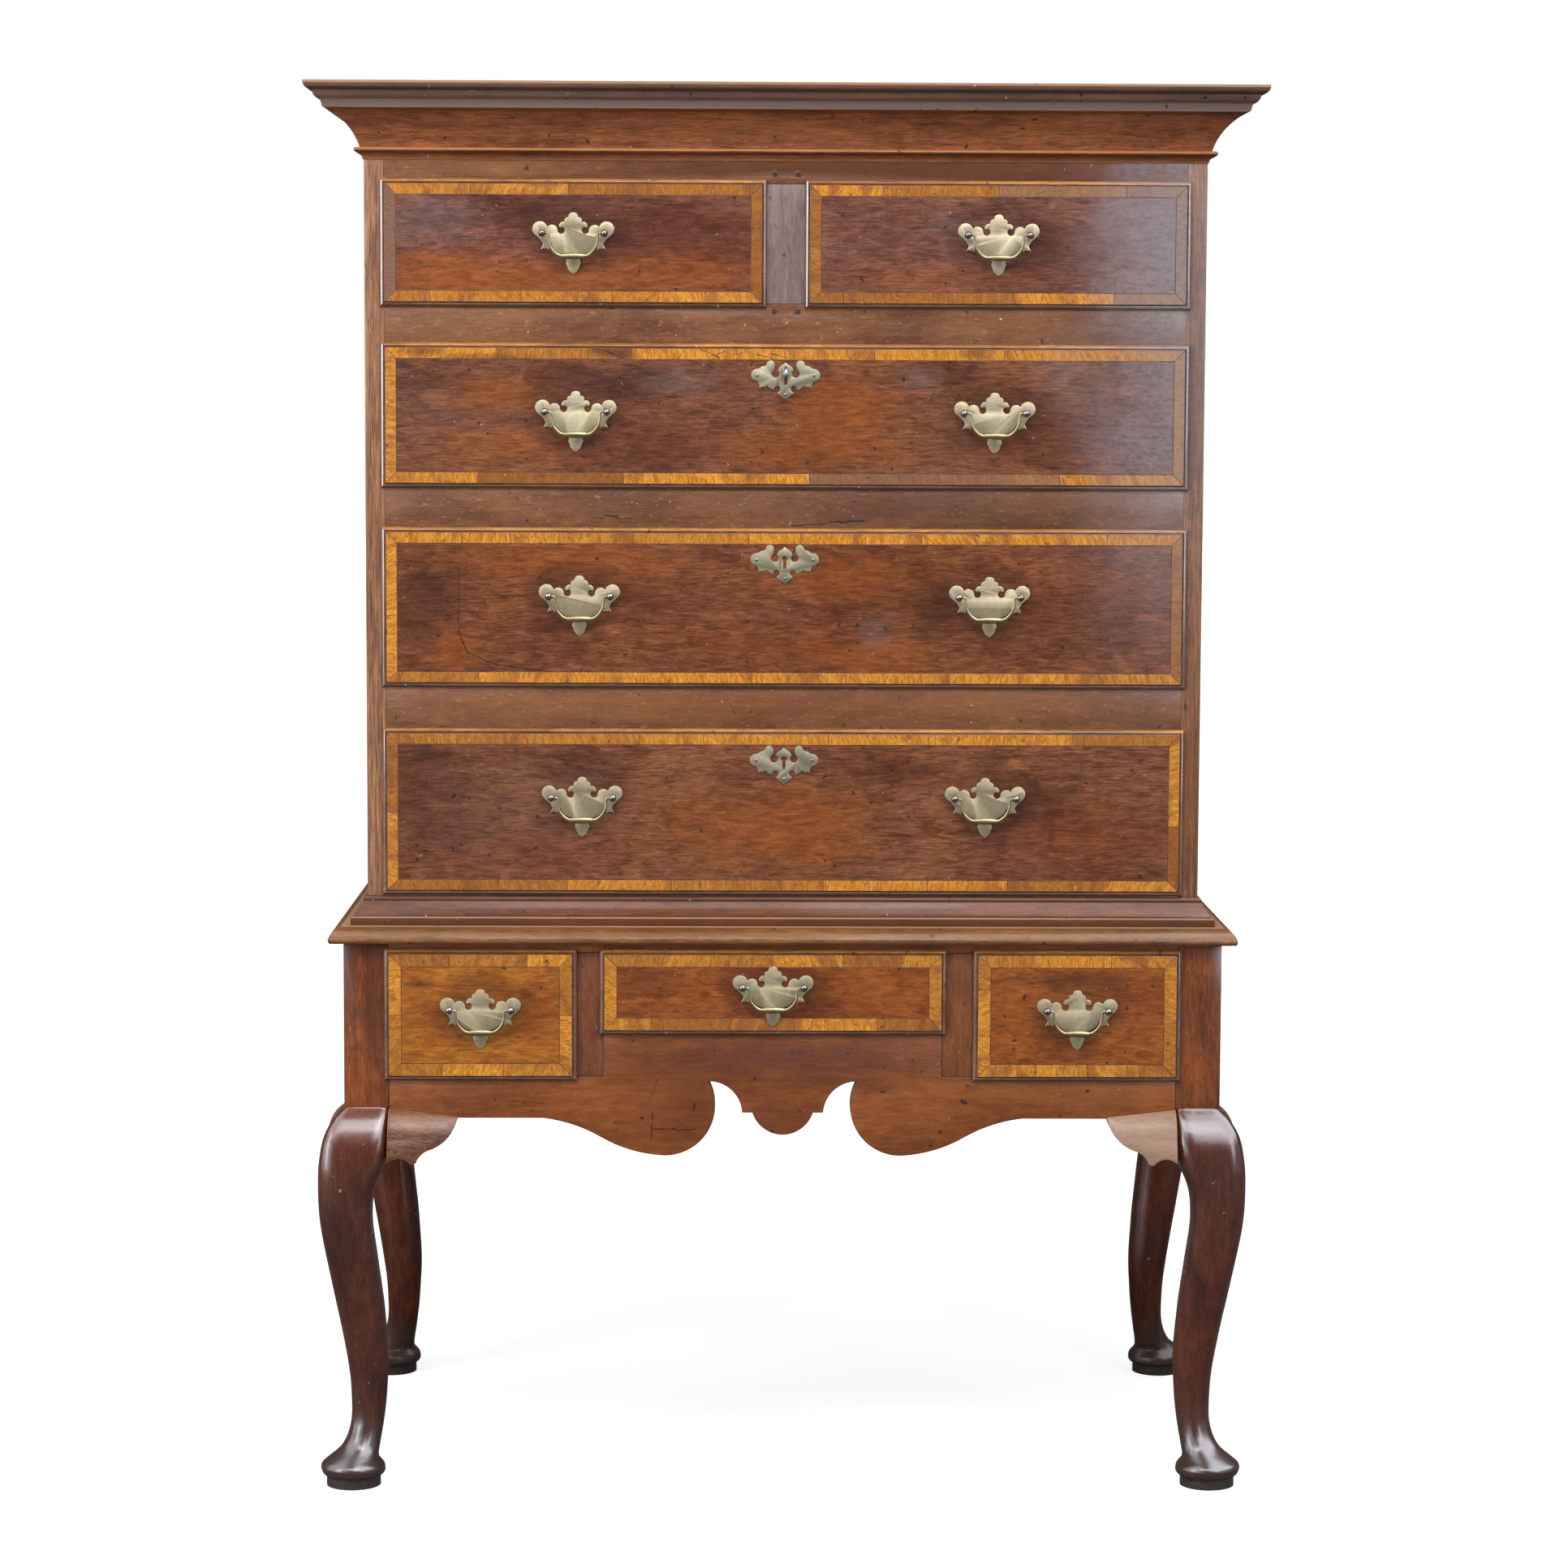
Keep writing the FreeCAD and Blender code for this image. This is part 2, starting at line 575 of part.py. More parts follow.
def drawer_box(x0, x1, z0, z1, face):
    """Two sides, a back and a bottom let into grooves in the sides."""
    left = x0 + SIDE_CLEAR
    right = x1 - SIDE_CLEAR
    y0 = face + FRONT_THICK
    y1 = face + DRAWER_DEPTH
    foot = z0 + RUN_GAP
    top = z1 - SIDE_DROP
    bottom = block(left + DRAWER_SIDE - GROOVE, right - DRAWER_SIDE + GROOVE, y0, y1,
                   foot + BOTTOM_LIFT, foot + BOTTOM_LIFT + DRAWER_BOTTOM)
    sides = [block(left, left + DRAWER_SIDE, y0, y1, foot, top),
             block(right - DRAWER_SIDE, right, y0, y1, foot, top)]
    back = block(left + DRAWER_SIDE, right - DRAWER_SIDE, y1 - DRAWER_SIDE, y1,
                 foot + BOTTOM_LIFT + DRAWER_BOTTOM, top)
    return [side.cut(bottom) for side in sides] + [back, bottom]


def drawer_plane(face):
    return face - LIP_GAP - LIP_THICK - FIELD_RISE


def plate_path():
    """Pierced handle plate, right half from the tip of its tail to the top of its crown."""
    return [(0, -45.0), ((4.6, -41.2), (6.9, -35.4)), ((8.1, -33.6), (7.2, -30.8)),
            ((8.2, -27.0), (10.4, -23.8)), ((19.4, -19.6), (24.2, -12.2)),
            (26.0, -13.4), (27.8, -18.6), ((29.6, -16.6), (31.8, -17.4)), (33.4, -16.2),
            (36.2, -18.0), ((34.6, -14.8), (33.4, -11.9)), ((37.2, -6.2), (42.4, -1.8)),
            ((40.6, 12.4), (29.0, 6.9)), ((23.4, 9.4), (17.6, 4.2)),
            ((13.4, -0.6), (9.4, 4.2)), ((11.0, 6.6), (14.6, 6.0)), (15.9, 7.4),
            ((13.8, 11.8), (9.2, 12.4)), ((9.0, 16.2), (5.2, 17.8)), ((4.0, 21.6), (0, 22.9))]


def handle_plate(x, z, plane):
    scale = POST_HALF / 34.7
    path = [shift_step(step, x, z, scale) for step in both_sides(plate_path())]
    plate = front_prism(path, plane - PLATE_THICK, plane)
    for side in (-1, 1):
        plate = plate.cut(Part.makeCylinder(SHANK_RADIUS + SCREW_CLEAR, 2 * PLATE_THICK,
                                            Vector(x + side * POST_HALF, plane - 1.5 * PLATE_THICK, z),
                                            Vector(0, 1, 0)))
    return plate


def shift_step(step, x, z, scale=1.0):
    """One step of an outline, scaled and then moved to x, z."""
    if isinstance(step[0], tuple):
        return tuple((point[0] * scale + x, point[1] * scale + z) for point in step)
    return (step[0] * scale + x, step[1] * scale + z)


def handle_post(x, z, plane, face, side):
    """Ball-headed post with a socket for the bail, and the shank that passes through the front."""
    head_y = plane - PLATE_THICK - HEAD_OUT
    back = face + FRONT_THICK + NUT_THICK + 2.0
    post = Part.makeSphere(HEAD_RADIUS, Vector(x, head_y, z))
    neck = Part.makeCone(NECK_RADIUS * 0.75, NECK_RADIUS, HEAD_OUT, Vector(x, head_y, z), Vector(0, 1, 0))
    shank = Part.makeCylinder(SHANK_RADIUS, back - head_y, Vector(x, head_y, z), Vector(0, 1, 0))
    post = post.fuse([neck, shank]).removeSplitter()
    depth = STUB_SEAT + STUB_CLEAR
    mouth = x - side * HEAD_RADIUS
    socket = Part.makeCylinder(STUB_RADIUS + STUB_CLEAR, depth + 1.0,
                               Vector(mouth - side * 1.0, head_y, z), Vector(side, 0, 0))
    return post.cut(socket)


def handle_nut(x, z, face):
    y0 = face + FRONT_THICK
    nut = Part.makeCylinder(NUT_RADIUS, NUT_THICK, Vector(x, y0, z), Vector(0, 1, 0))
    hole = Part.makeCylinder(SHANK_RADIUS + SCREW_CLEAR, NUT_THICK, Vector(x, y0, z), Vector(0, 1, 0))
    return nut.cut(hole)


def handle_mounts(x, z, face):
    plane = drawer_plane(face)
    made = [handle_plate(x, z, plane)]
    for side in (-1, 1):
        made.append(handle_post(x + side * POST_HALF, z, plane, face, side))
        made.append(handle_nut(x + side * POST_HALF, z, face))
    return made


def handle_holes(x, z, face):
    holes = []
    for side in (-1, 1):
        holes.append(Part.makeCylinder(SHANK_RADIUS + SCREW_CLEAR, 2 * FRONT_THICK,
                                       Vector(x + side * POST_HALF, face - FRONT_THICK / 2, z),
                                       Vector(0, 1, 0)))
    return holes


def bail_side(place):
    """Path of the right half of a bail, from its stub in the ball head to the middle of the grip."""
    start = POST_HALF - HEAD_RADIUS + STUB_SEAT
    bend = 2.2
    arm_foot = -5.0
    # The arm's long arc meets the grip's corner arc where their tangents agree.
    wide = BAIL_HALF - GRIP_HALF
    deep = BAIL_DROP + arm_foot - BAIL_CORNER
    radius = (wide ** 2 + deep ** 2 - BAIL_CORNER ** 2) / (2 * (wide - BAIL_CORNER))
    centre = (BAIL_HALF - radius, arm_foot)
    corner = (GRIP_HALF, -BAIL_DROP + BAIL_CORNER)
    angle = math.atan2(corner[1] - centre[1], corner[0] - centre[0])
    join = (centre[0] + radius * math.cos(angle), centre[1] + radius * math.sin(angle))
    half = angle / 2
    mid = (centre[0] + radius * math.cos(half), centre[1] + radius * math.sin(half))
    low = (angle - math.pi / 2) / 2
    knuckle = (corner[0] + BAIL_CORNER * math.cos(low), corner[1] + BAIL_CORNER * math.sin(low))
    turn = bend * (1 - math.sin(math.radians(45)))
    bend_mid = (BAIL_HALF + turn, -turn)
    return [Part.makeLine(place(start, 0), place(BAIL_HALF + bend, 0)),
            Part.Arc(place(BAIL_HALF + bend, 0), place(*bend_mid), place(BAIL_HALF, -bend)).toShape(),
            Part.makeLine(place(BAIL_HALF, -bend), place(BAIL_HALF, arm_foot)),
            Part.Arc(place(BAIL_HALF, arm_foot), place(*mid), place(*join)).toShape(),
            Part.Arc(place(*join), place(*knuckle), place(GRIP_HALF, -BAIL_DROP)).toShape(),
            Part.makeLine(place(GRIP_HALF, -BAIL_DROP), place(0, -BAIL_DROP))]


def bail(x, z, face):
    """Swinging bail with a swelled grip, hanging from the two ball heads."""
    y = drawer_plane(face) - PLATE_THICK - HEAD_OUT

    def right(u, v):
        return Vector(x + u, y, z + v)

    path = Part.Wire(bail_side(right))
    start = right(POST_HALF - HEAD_RADIUS + STUB_SEAT, 0)
    section = Part.Wire([Part.makeCircle(STUB_RADIUS, start, Vector(1, 0, 0))])
    half = path.makePipeShell([section], True, True)
    half = half.Solids[0] if half.Solids else Part.Solid(half)
    other = mirrored(half, Vector(1, 0, 0), Vector(x, 0, 0))
    centre = Vector(x, y, z - BAIL_DROP)
    rim = STUB_RADIUS + 0.05
    grip_path = [Part.makeLine(centre + Vector(-GRIP_HALF, 0, 0), centre + Vector(-GRIP_HALF, 0, rim)),
                 Part.Arc(centre + Vector(-GRIP_HALF, 0, rim), centre + Vector(0, 0, GRIP_RADIUS),
                          centre + Vector(GRIP_HALF, 0, rim)).toShape(),
                 Part.makeLine(centre + Vector(GRIP_HALF, 0, rim), centre + Vector(GRIP_HALF, 0, 0)),
                 Part.makeLine(centre + Vector(GRIP_HALF, 0, 0), centre + Vector(-GRIP_HALF, 0, 0))]
    grip = Part.Face(Part.Wire(grip_path)).revolve(centre, Vector(1, 0, 0), 360)
    return [half.fuse([other, grip]).removeSplitter()]


# ---------------------------------------------------------------- locks

def keyhole(x, z, y0, y1):
    """Keyhole pierced from y0 to y1: a round head with a slot below it."""
    head = Part.makeCylinder(KEYHOLE_RADIUS, y1 - y0, Vector(x, y0, z), Vector(0, 1, 0))
    slot = block(x - KEYHOLE_SLOT / 2, x + KEYHOLE_SLOT / 2, y0, y1, z - KEYHOLE_LENGTH, z)
    return head.fuse(slot).removeSplitter()


def escutcheon_path():
    """Pierced key plate, right half from its lower tip to its upper point, measured from the pin line."""
    return [(0, -26.8), ((4.6, -23.2), (9.2, -19.4)), (6.6, -16.8),
            ((7.6, -11.6), (12.6, -14.2)), (13.4, -16.4), ((17.6, -14.0), (21.4, -9.9)),
            ((22.0, -12.2), (24.0, -13.2)), (26.4, -12.8), (29.2, -14.1),
            ((29.6, -9.8), (32.0, -6.3)), ((38.6, 0.6), (33.4, 7.4)),
            ((29.6, 8.2), (26.6, 10.4)), ((23.4, 10.8), (21.4, 12.2)),
            ((17.8, 16.8), (12.4, 13.8)), ((12.2, 9.8), (13.8, 5.6)),
            ((12.0, -2.2), (8.6, 5.6)), ((6.4, 10.0), (3.4, 11.8)), (0, 14.6)]


def escutcheon(x, z_key, plane):
    """Key plate with its three pins. Its pin line lies a little below the key axis."""
    z = z_key - 1.5
    path = [shift_step(step, x, z) for step in both_sides(escutcheon_path())]
    plate = front_prism(path, plane - ESCUTCHEON_THICK, plane)
    plate = plate.cut(keyhole(x, z_key, plane - 2 * ESCUTCHEON_THICK, plane + ESCUTCHEON_THICK))
    made = [plate]
    for dx, dz in ((-31.7, 0.3), (31.7, 0.3), (0, -20.8)):
        foot = Vector(x + dx, plane - ESCUTCHEON_THICK, z + dz)
        dome = Part.makeSphere(PIN_RADIUS * 1.25, foot + Vector(0, PIN_RADIUS * 0.75, 0))
        above = block(foot.x - 5, foot.x + 5, foot.y - 5, foot.y, foot.z - 5, foot.z + 5)
        made.append(dome.common(above))
    return made


def lock_case(x, z_key, z_top, face):
    """Iron lock let into the back of the front: a hollow case open at the top for the bolt."""
    y0 = face + FRONT_THICK - LOCK_MORTISE
    y1 = y0 + LOCK_DEPTH
    shell = block(x - CASE_HALF, x + CASE_HALF, y0, y1, z_key - LOCK_BELOW, z_top)
    hollow = block(x - CASE_HALF + LOCK_WALL, x + CASE_HALF - LOCK_WALL, y0 + LOCK_WALL, y1 - LOCK_WALL,
                   z_key - LOCK_BELOW + LOCK_WALL, z_top - LOCK_WALL)
    wide = BOLT_HALF + BOLT_CLEAR
    slot = block(x - wide, x + wide, y0 + LOCK_WALL, y0 + LOCK_WALL + BOLT_THICK + 2 * BOLT_CLEAR,
                 z_top - 2 * LOCK_WALL, z_top + 1.0)
    shell = shell.cut(hollow).cut(slot)
    return [shell.cut(keyhole(x, z_key, y0 - 1.0, y0 + LOCK_WALL + 1.0))]


def lock_bolt(x, z_key, z_top, face):
    y0 = face + FRONT_THICK - LOCK_MORTISE + LOCK_WALL + BOLT_CLEAR
    return [block(x - BOLT_HALF, x + BOLT_HALF, y0, y0 + BOLT_THICK, z_key + BOLT_REST, z_top)]


def drawer_key(x, z_key, face):
    """Steel key in the top long drawer: oval bow, collar, shank and bit, with the bit hanging down."""
    plane = drawer_plane(face) - ESCUTCHEON_THICK
    bit_y1 = face + FRONT_THICK - LOCK_MORTISE + LOCK_WALL + BOLT_CLEAR + BOLT_THICK
    bow_y = plane - KEY_REACH + BOW_HALF_LONG
    shank_y = bow_y + BOW_HALF_LONG - 2.0
    shank = Part.makeCylinder(KEY_RADIUS, bit_y1 - shank_y, Vector(x, shank_y, z_key), Vector(0, 1, 0))
    collar = Part.makeCylinder(KEY_RADIUS + 1.1, 2.4, Vector(x, shank_y + 1.4, z_key), Vector(0, 1, 0))
    bit = block(x - KEY_BIT_WIDE / 2, x + KEY_BIT_WIDE / 2, bit_y1 - KEY_BIT_LONG, bit_y1,
                z_key - KEY_BIT, z_key)

    def oval(half_long, half_high):
        ellipse = Part.Ellipse(Vector(x, bow_y, z_key), half_long, half_high)
        ellipse.Axis = Vector(1, 0, 0)
        ellipse.XAxis = Vector(0, 1, 0)
        return Part.Face(Part.Wire([ellipse.toShape()]))

    bow = oval(BOW_HALF_LONG, BOW_HALF_HIGH).cut(oval(BOW_HALF_LONG - BOW_RING, BOW_HALF_HIGH - BOW_RING))
    bow = bow.extrude(Vector(BOW_THICK, 0, 0))
    bow.translate(Vector(-BOW_THICK / 2, 0, 0))
    bow = bow.makeFillet(BOW_ROUND, [edge for edge in bow.Edges if edge.Length > BOW_HALF_HIGH])
    return [shank.fuse([collar, bit, bow]).removeSplitter()]


# ---------------------------------------------------------------- all the drawers

def build_drawer(name, opening, face, band, handles, handle_up, locked, keyed):
    """Write the nodes of one drawer. handle_up is the height of the posts above the opening's foot."""
    x0, x1, z0, z1 = opening
    z_handle = z0 + handle_up
    middle = (x0 + x1) / 2
    z_key = z1 + LIP - KEY_DROP
    holes = []
    mounts = []
    for x in handles:
        holes += handle_holes(x, z_handle, face)
        mounts += handle_mounts(x, z_handle, face)
    if locked:
        z_top = z1 - TOP_CLEAR
        holes.append(keyhole(middle, z_key, face - FRONT_THICK, face + FRONT_THICK))
        holes.append(block(middle - CASE_HALF, middle + CASE_HALF, face + FRONT_THICK - LOCK_MORTISE,
                           face + FRONT_THICK + 1.0, z_key - LOCK_BELOW, z_top + 1.0))
        mounts += escutcheon(middle, z_key, drawer_plane(face))
        save(lock_case(middle, z_key, z_top, face), name + "_lock_case")
        save(lock_bolt(middle, z_key, z_top, face), name + "_lock_bolt")
    if keyed:
        save(drawer_key(middle, z_key, face), "drawer_key")
    save(drawer_front(x0, x1, z0, z1, face, band, holes), name + "_front")
    save(drawer_box(x0, x1, z0, z1, face), name + "_box")
    save(mounts, name + "_handle_mounts")
    if len(handles) == 1:
        save(bail(handles[0], z_handle, face), name + "_bail")
    else:
        for x, side in zip(handles, ("left", "right")):
            save(bail(x, z_handle, face), name + "_" + side + "_bail")


def build_drawers():
    half = CENTRE_UPRIGHT / 2
    z0 = ROW_FEET[0]
    z1 = z0 + OPENINGS[0]
    for name, x0, x1 in (("upper_left_drawer", -INNER_HALF, -half),
                         ("upper_right_drawer", half, INNER_HALF)):
        build_drawer(name, (x0, x1, z0, z1), CASE_FRONT, BAND_LONG, [(x0 + x1) / 2], 77.2, False, False)
    for row, name, spread, up in ((1, "top_long_drawer", 235.0, 81.4),
                                  (2, "middle_long_drawer", 231.0, 99.1),
                                  (3, "bottom_long_drawer", 228.0, 107.4)):
        z0 = ROW_FEET[row]
        build_drawer(name, (-INNER_HALF, INNER_HALF, z0, z0 + OPENINGS[row]), CASE_FRONT, BAND_LONG,
                     [-spread, spread], up, True, row == 1)
    for name, x0, x1, z0 in (("stand_left_drawer", -POST_INNER, LEFT_UPRIGHT[0], SMALL_OPENING_FOOT),
                             ("stand_centre_drawer", LEFT_UPRIGHT[1], RIGHT_UPRIGHT[0],
                              CENTRE_OPENING_FOOT),
                             ("stand_right_drawer", RIGHT_UPRIGHT[1], POST_INNER, SMALL_OPENING_FOOT)):
        up = (STAND_OPENING_TOP - z0) / 2 + 6.8
        build_drawer(name, (x0, x1, z0, STAND_OPENING_TOP), STAND_FRONT, BAND_STAND, [(x0 + x1) / 2],
                     up, False, False)


os.makedirs("parts", exist_ok=True)
save(side_boards(), "upper_side_boards")
save(top_and_bottom_boards(), "upper_top_and_bottom_boards")
save(back_boards(), "upper_back_boards")
save(front_rails(), "upper_front_rails")
save(centre_upright(), "upper_centre_upright")
save(pegs(), "joint_pegs")
save(case_runners() + stand_runners(), "drawer_runners")
save(cornice(), "cornice")
save(waist_moulding(), "waist_moulding")
save(stand_top_frame(), "stand_top_frame")
right_leg = leg()
save([right_leg], "leg_front_right")
save([mirrored(right_leg, Vector(1, 0, 0))], "leg_front_left")
save([to_back(right_leg)], "leg_back_right")
save([mirrored(to_back(right_leg), Vector(1, 0, 0))], "leg_back_left")
save(apron(), "stand_apron")
save(stand_rail_and_uprights(), "stand_rail_and_uprights")
save(stand_sides_and_back(), "stand_sides_and_back")
save(knee_brackets(), "knee_brackets")
build_drawers()
print(len(saved), "nodes")
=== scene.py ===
import json
import math

import bmesh
import bpy
from mathutils import Matrix, Vector


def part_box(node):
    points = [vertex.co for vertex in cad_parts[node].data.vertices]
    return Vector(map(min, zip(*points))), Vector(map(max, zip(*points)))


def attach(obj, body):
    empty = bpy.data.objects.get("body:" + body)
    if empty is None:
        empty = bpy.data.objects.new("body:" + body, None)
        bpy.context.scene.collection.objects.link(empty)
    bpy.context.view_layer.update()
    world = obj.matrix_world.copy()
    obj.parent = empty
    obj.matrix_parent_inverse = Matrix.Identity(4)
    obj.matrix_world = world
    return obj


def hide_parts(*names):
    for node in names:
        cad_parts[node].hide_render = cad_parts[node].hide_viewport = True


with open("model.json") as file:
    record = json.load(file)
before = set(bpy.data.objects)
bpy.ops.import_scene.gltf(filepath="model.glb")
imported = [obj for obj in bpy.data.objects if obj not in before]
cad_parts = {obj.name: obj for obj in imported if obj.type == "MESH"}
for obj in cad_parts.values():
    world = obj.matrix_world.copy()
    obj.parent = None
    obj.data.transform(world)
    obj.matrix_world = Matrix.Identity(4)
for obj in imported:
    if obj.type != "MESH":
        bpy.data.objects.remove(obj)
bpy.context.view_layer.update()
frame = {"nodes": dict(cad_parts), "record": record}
MM = 0.001

# ------------------------------------------------------------------ legs
# Each leg is one billet of oak: a square post above, then knee, ankle and pad foot, shaped by
# hand and polished dark. The grain runs down the leg, and the foot has gone a dull grey brown.


def fill(tree, node, feeds):
    """Link or set some inputs of a shader node."""
    for name, value in feeds.items():
        if isinstance(value, bpy.types.NodeSocket):
            tree.links.new(value, node.inputs[name])
        else:
            node.inputs[name].default_value = value


def place(tree, kind, feeds=None, **settings):
    """Put one shader node in a tree, set its properties and fill its inputs."""
    made = tree.nodes.new("ShaderNode" + kind)
    for name, value in settings.items():
        setattr(made, name, value)
    fill(tree, made, feeds or {})
    return made


def sums(tree, operation, first, second=0.0, third=0.0):
    """One Math node; returns its value."""
    return place(tree, "Math", {0: first, 1: second, 2: third}, operation=operation).outputs[0]


def vectors(tree, operation, first, second=(0.0, 0.0, 0.0), third=(0.0, 0.0, 0.0)):
    """One Vector Math node; returns its vector."""
    return place(tree, "VectorMath", {0: first, 1: second, 2: third}, operation=operation).outputs[0]


def measured(tree, operation, first, second=(0.0, 0.0, 0.0)):
    """One Vector Math node that gives a single value, such as a length."""
    return place(tree, "VectorMath", {0: first, 1: second}, operation=operation).outputs["Value"]


def own_place(tree):
    """Place on the object, in metres."""
    return place(tree, "TexCoord").outputs["Object"]


def axes(tree, vector):
    """The three values of a vector."""
    return place(tree, "SeparateXYZ", {0: vector}).outputs


def between(tree, value, low, high, out_low=0.0, out_high=1.0):
    """Value carried smoothly from the range low..high to out_low..out_high, held at the ends."""
    feeds = {0: value, 1: low, 2: high, 3: out_low, 4: out_high}
    return place(tree, "MapRange", feeds, interpolation_type="SMOOTHSTEP").outputs[0]


def mixed(tree, factor, first, second, how="MIX"):
    """Mix of two colours."""
    ends = [end if isinstance(end, bpy.types.NodeSocket) else (*end, 1.0) for end in (first, second)]
    feeds = {0: factor, 6: ends[0], 7: ends[1]}
    return place(tree, "Mix", feeds, data_type="RGBA", blend_type=how).outputs[2]


def stained(tree, colour, mask, strength, tint):
    """Colour with a tint over it, as strongly as a mask and a share of it say."""
    return mixed(tree, sums(tree, "MULTIPLY", mask, strength), colour, tint)


def shaded(tree, colour, shade):
    """Colour made darker or lighter by a factor."""
    grey = place(tree, "CombineColor", {0: shade, 1: shade, 2: shade}).outputs[0]
    return mixed(tree, 1.0, colour, grey, "MULTIPLY")


def stretched(tree, vector, scale, detail=2.0, rough=0.5, twist=0.0):
    """Noise whose cells are drawn out by a scale for each axis."""
    feeds = {"Vector": vectors(tree, "MULTIPLY", vector, scale), "Scale": 1.0, "Detail": detail,
             "Roughness": rough, "Distortion": twist}
    return place(tree, "TexNoise", feeds).outputs["Fac"]


def group_start(name, inputs, outputs):
    """Empty node group with named sockets; returns the tree, its inputs and its output node."""
    tree = bpy.data.node_groups.new(name, "ShaderNodeTree")
    for label, kind, value in inputs:
        socket = tree.interface.new_socket(label, in_out="INPUT", socket_type="NodeSocket" + kind)
        if kind == "Float":
            socket.default_value = value
    for label, kind in outputs:
        tree.interface.new_socket(label, in_out="OUTPUT", socket_type="NodeSocket" + kind)
    given = tree.nodes.new("NodeGroupInput")
    return tree, given.outputs, tree.nodes.new("NodeGroupOutput")


def seeded(tree, given):
    """Place moved by the group's own seed."""
    shift = place(tree, "CombineXYZ", {axis: given["Seed"] for axis in range(3)}).outputs[0]
    return vectors(tree, "ADD", given["Vector"], shift)


def oak_figure():
    """Figure of sawn oak with its grain along X: bands, fine lines, pores, rays and mottling."""
    tree, given, out = group_start(
        "Oak figure", [("Vector", "Vector", None), ("Seed", "Float", 0.0)],
        [("Lines", "Float"), ("Bands", "Float"), ("Pores", "Float"), ("Rays", "Float"),
         ("Blotches", "Float"), ("Mottle", "Float"), ("Height", "Float")])
    spot = seeded(tree, given)
    lines = stretched(tree, spot, (42.0, 480.0, 480.0), 4.0, 0.7)
    bands = stretched(tree, spot, (4.5, 58.0, 58.0), 5.0, 0.65, 1.1)
    fine_pores = between(tree, stretched(tree, spot, (75.0, 900.0, 900.0), 2.0, 0.5), 0.57, 0.68)
    long_pores = between(tree, stretched(tree, spot, (42.0, 480.0, 480.0), 2.0, 0.55, 0.3), 0.60, 0.70)
    pores = sums(tree, "MAXIMUM", sums(tree, "MULTIPLY", fine_pores, 0.7), long_pores)
    rays = between(tree, stretched(tree, spot, (130.0, 300.0, 300.0), 1.0, 0.5), 0.64, 0.74)
    blotches = stretched(tree, spot, (7.0, 13.0, 13.0), 3.0, 0.6, 0.4)
    mottle = stretched(tree, spot, (40.0, 120.0, 120.0), 5.0, 0.7, 0.8)
    height = sums(tree, "SUBTRACT", sums(tree, "MULTIPLY", lines, 0.8), pores)
    fill(tree, out, {"Lines": lines, "Bands": bands, "Pores": pores, "Rays": rays,
                     "Blotches": blotches, "Mottle": mottle, "Height": height})
    return tree


def old_surface():
    """What two hundred years leave on waxed wood: pale specks, dark dents and smeared polish."""
    tree, given, out = group_start(
        "Old surface", [("Vector", "Vector", None), ("Seed", "Float", 0.0)],
        [("Specks", "Float"), ("Dents", "Float"), ("Smears", "Float")])
    spot = seeded(tree, given)
    bent = place(tree, "TexNoise", {"Vector": spot, "Scale": 130.0, "Detail": 2.0}).outputs["Color"]
    bent = vectors(tree, "MULTIPLY_ADD", bent, (0.011, 0.011, 0.011), spot)
    masks = []
    for scale, share, size in ((170.0, 0.984, 0.22), (95.0, 0.92, 0.27)):
        cells = place(tree, "TexVoronoi", {"Vector": bent, "Scale": scale})
        near = between(tree, cells.outputs["Distance"], size, size * 0.4)
        chance = place(tree, "SeparateColor", {0: cells.outputs["Color"]}).outputs[0]
        masks.append(sums(tree, "MULTIPLY", near, sums(tree, "GREATER_THAN", chance, share)))
    smears = stretched(tree, spot, (9.0, 14.0, 14.0), 4.0, 0.6, 0.8)
    fill(tree, out, {"Specks": masks[0], "Dents": masks[1], "Smears": smears})
    return tree


def painted_window_sheen():
    """Painted sheen: mask of a grey reflection of a window, painted on the front at its upper right."""
    tree, given, out = group_start("Painted window sheen", [("Vector", "Vector", None), ("Normal", "Vector", None)],
                                   [("Mask", "Float")])
    uneven = stretched(tree, given["Vector"], (13.0, 13.0, 13.0), 4.0, 0.6)
    fine = stretched(tree, given["Vector"], (120.0, 260.0, 260.0), 3.0, 0.6)
    parts = axes(tree, given["Vector"])
    right = between(tree, sums(tree, "MULTIPLY_ADD", uneven, 0.16, parts[0]), 0.36, 0.54)
    high = between(tree, parts[2], 0.80, 1.30)
    ahead = between(tree, axes(tree, given["Normal"])[1], -0.2, -0.8)
    mask = sums(tree, "MULTIPLY", sums(tree, "MULTIPLY", right, high), ahead)
    mask = sums(tree, "MULTIPLY", mask, between(tree, fine, 0.3, 0.7, 0.55, 1.0))
    fill(tree, out, {"Mask": mask})
    return tree


OAK_FIGURE = oak_figure()
OLD_SURFACE = old_surface()
PAINTED_WINDOW_SHEEN = painted_window_sheen()
ALONG_X = (0.0, 0.0, 0.0)
ALONG_Y = (0.0, 0.0, math.pi / 2)
ALONG_Z = (0.0, math.pi / 2, 0.0)


def new_finish(name):
    """Material with its Principled shader; returns the material, its tree and the shader."""
    finish = bpy.data.materials.new(name)
    finish.use_nodes = True
    shader = finish.node_tree.nodes["Principled BSDF"]
    return finish, finish.node_tree, shader


def object_spot(tree, turn):
    """Object coordinates turned so that the grain runs along their X."""
    return place(tree, "Mapping", {"Vector": own_place(tree), "Rotation": turn}).outputs[0]


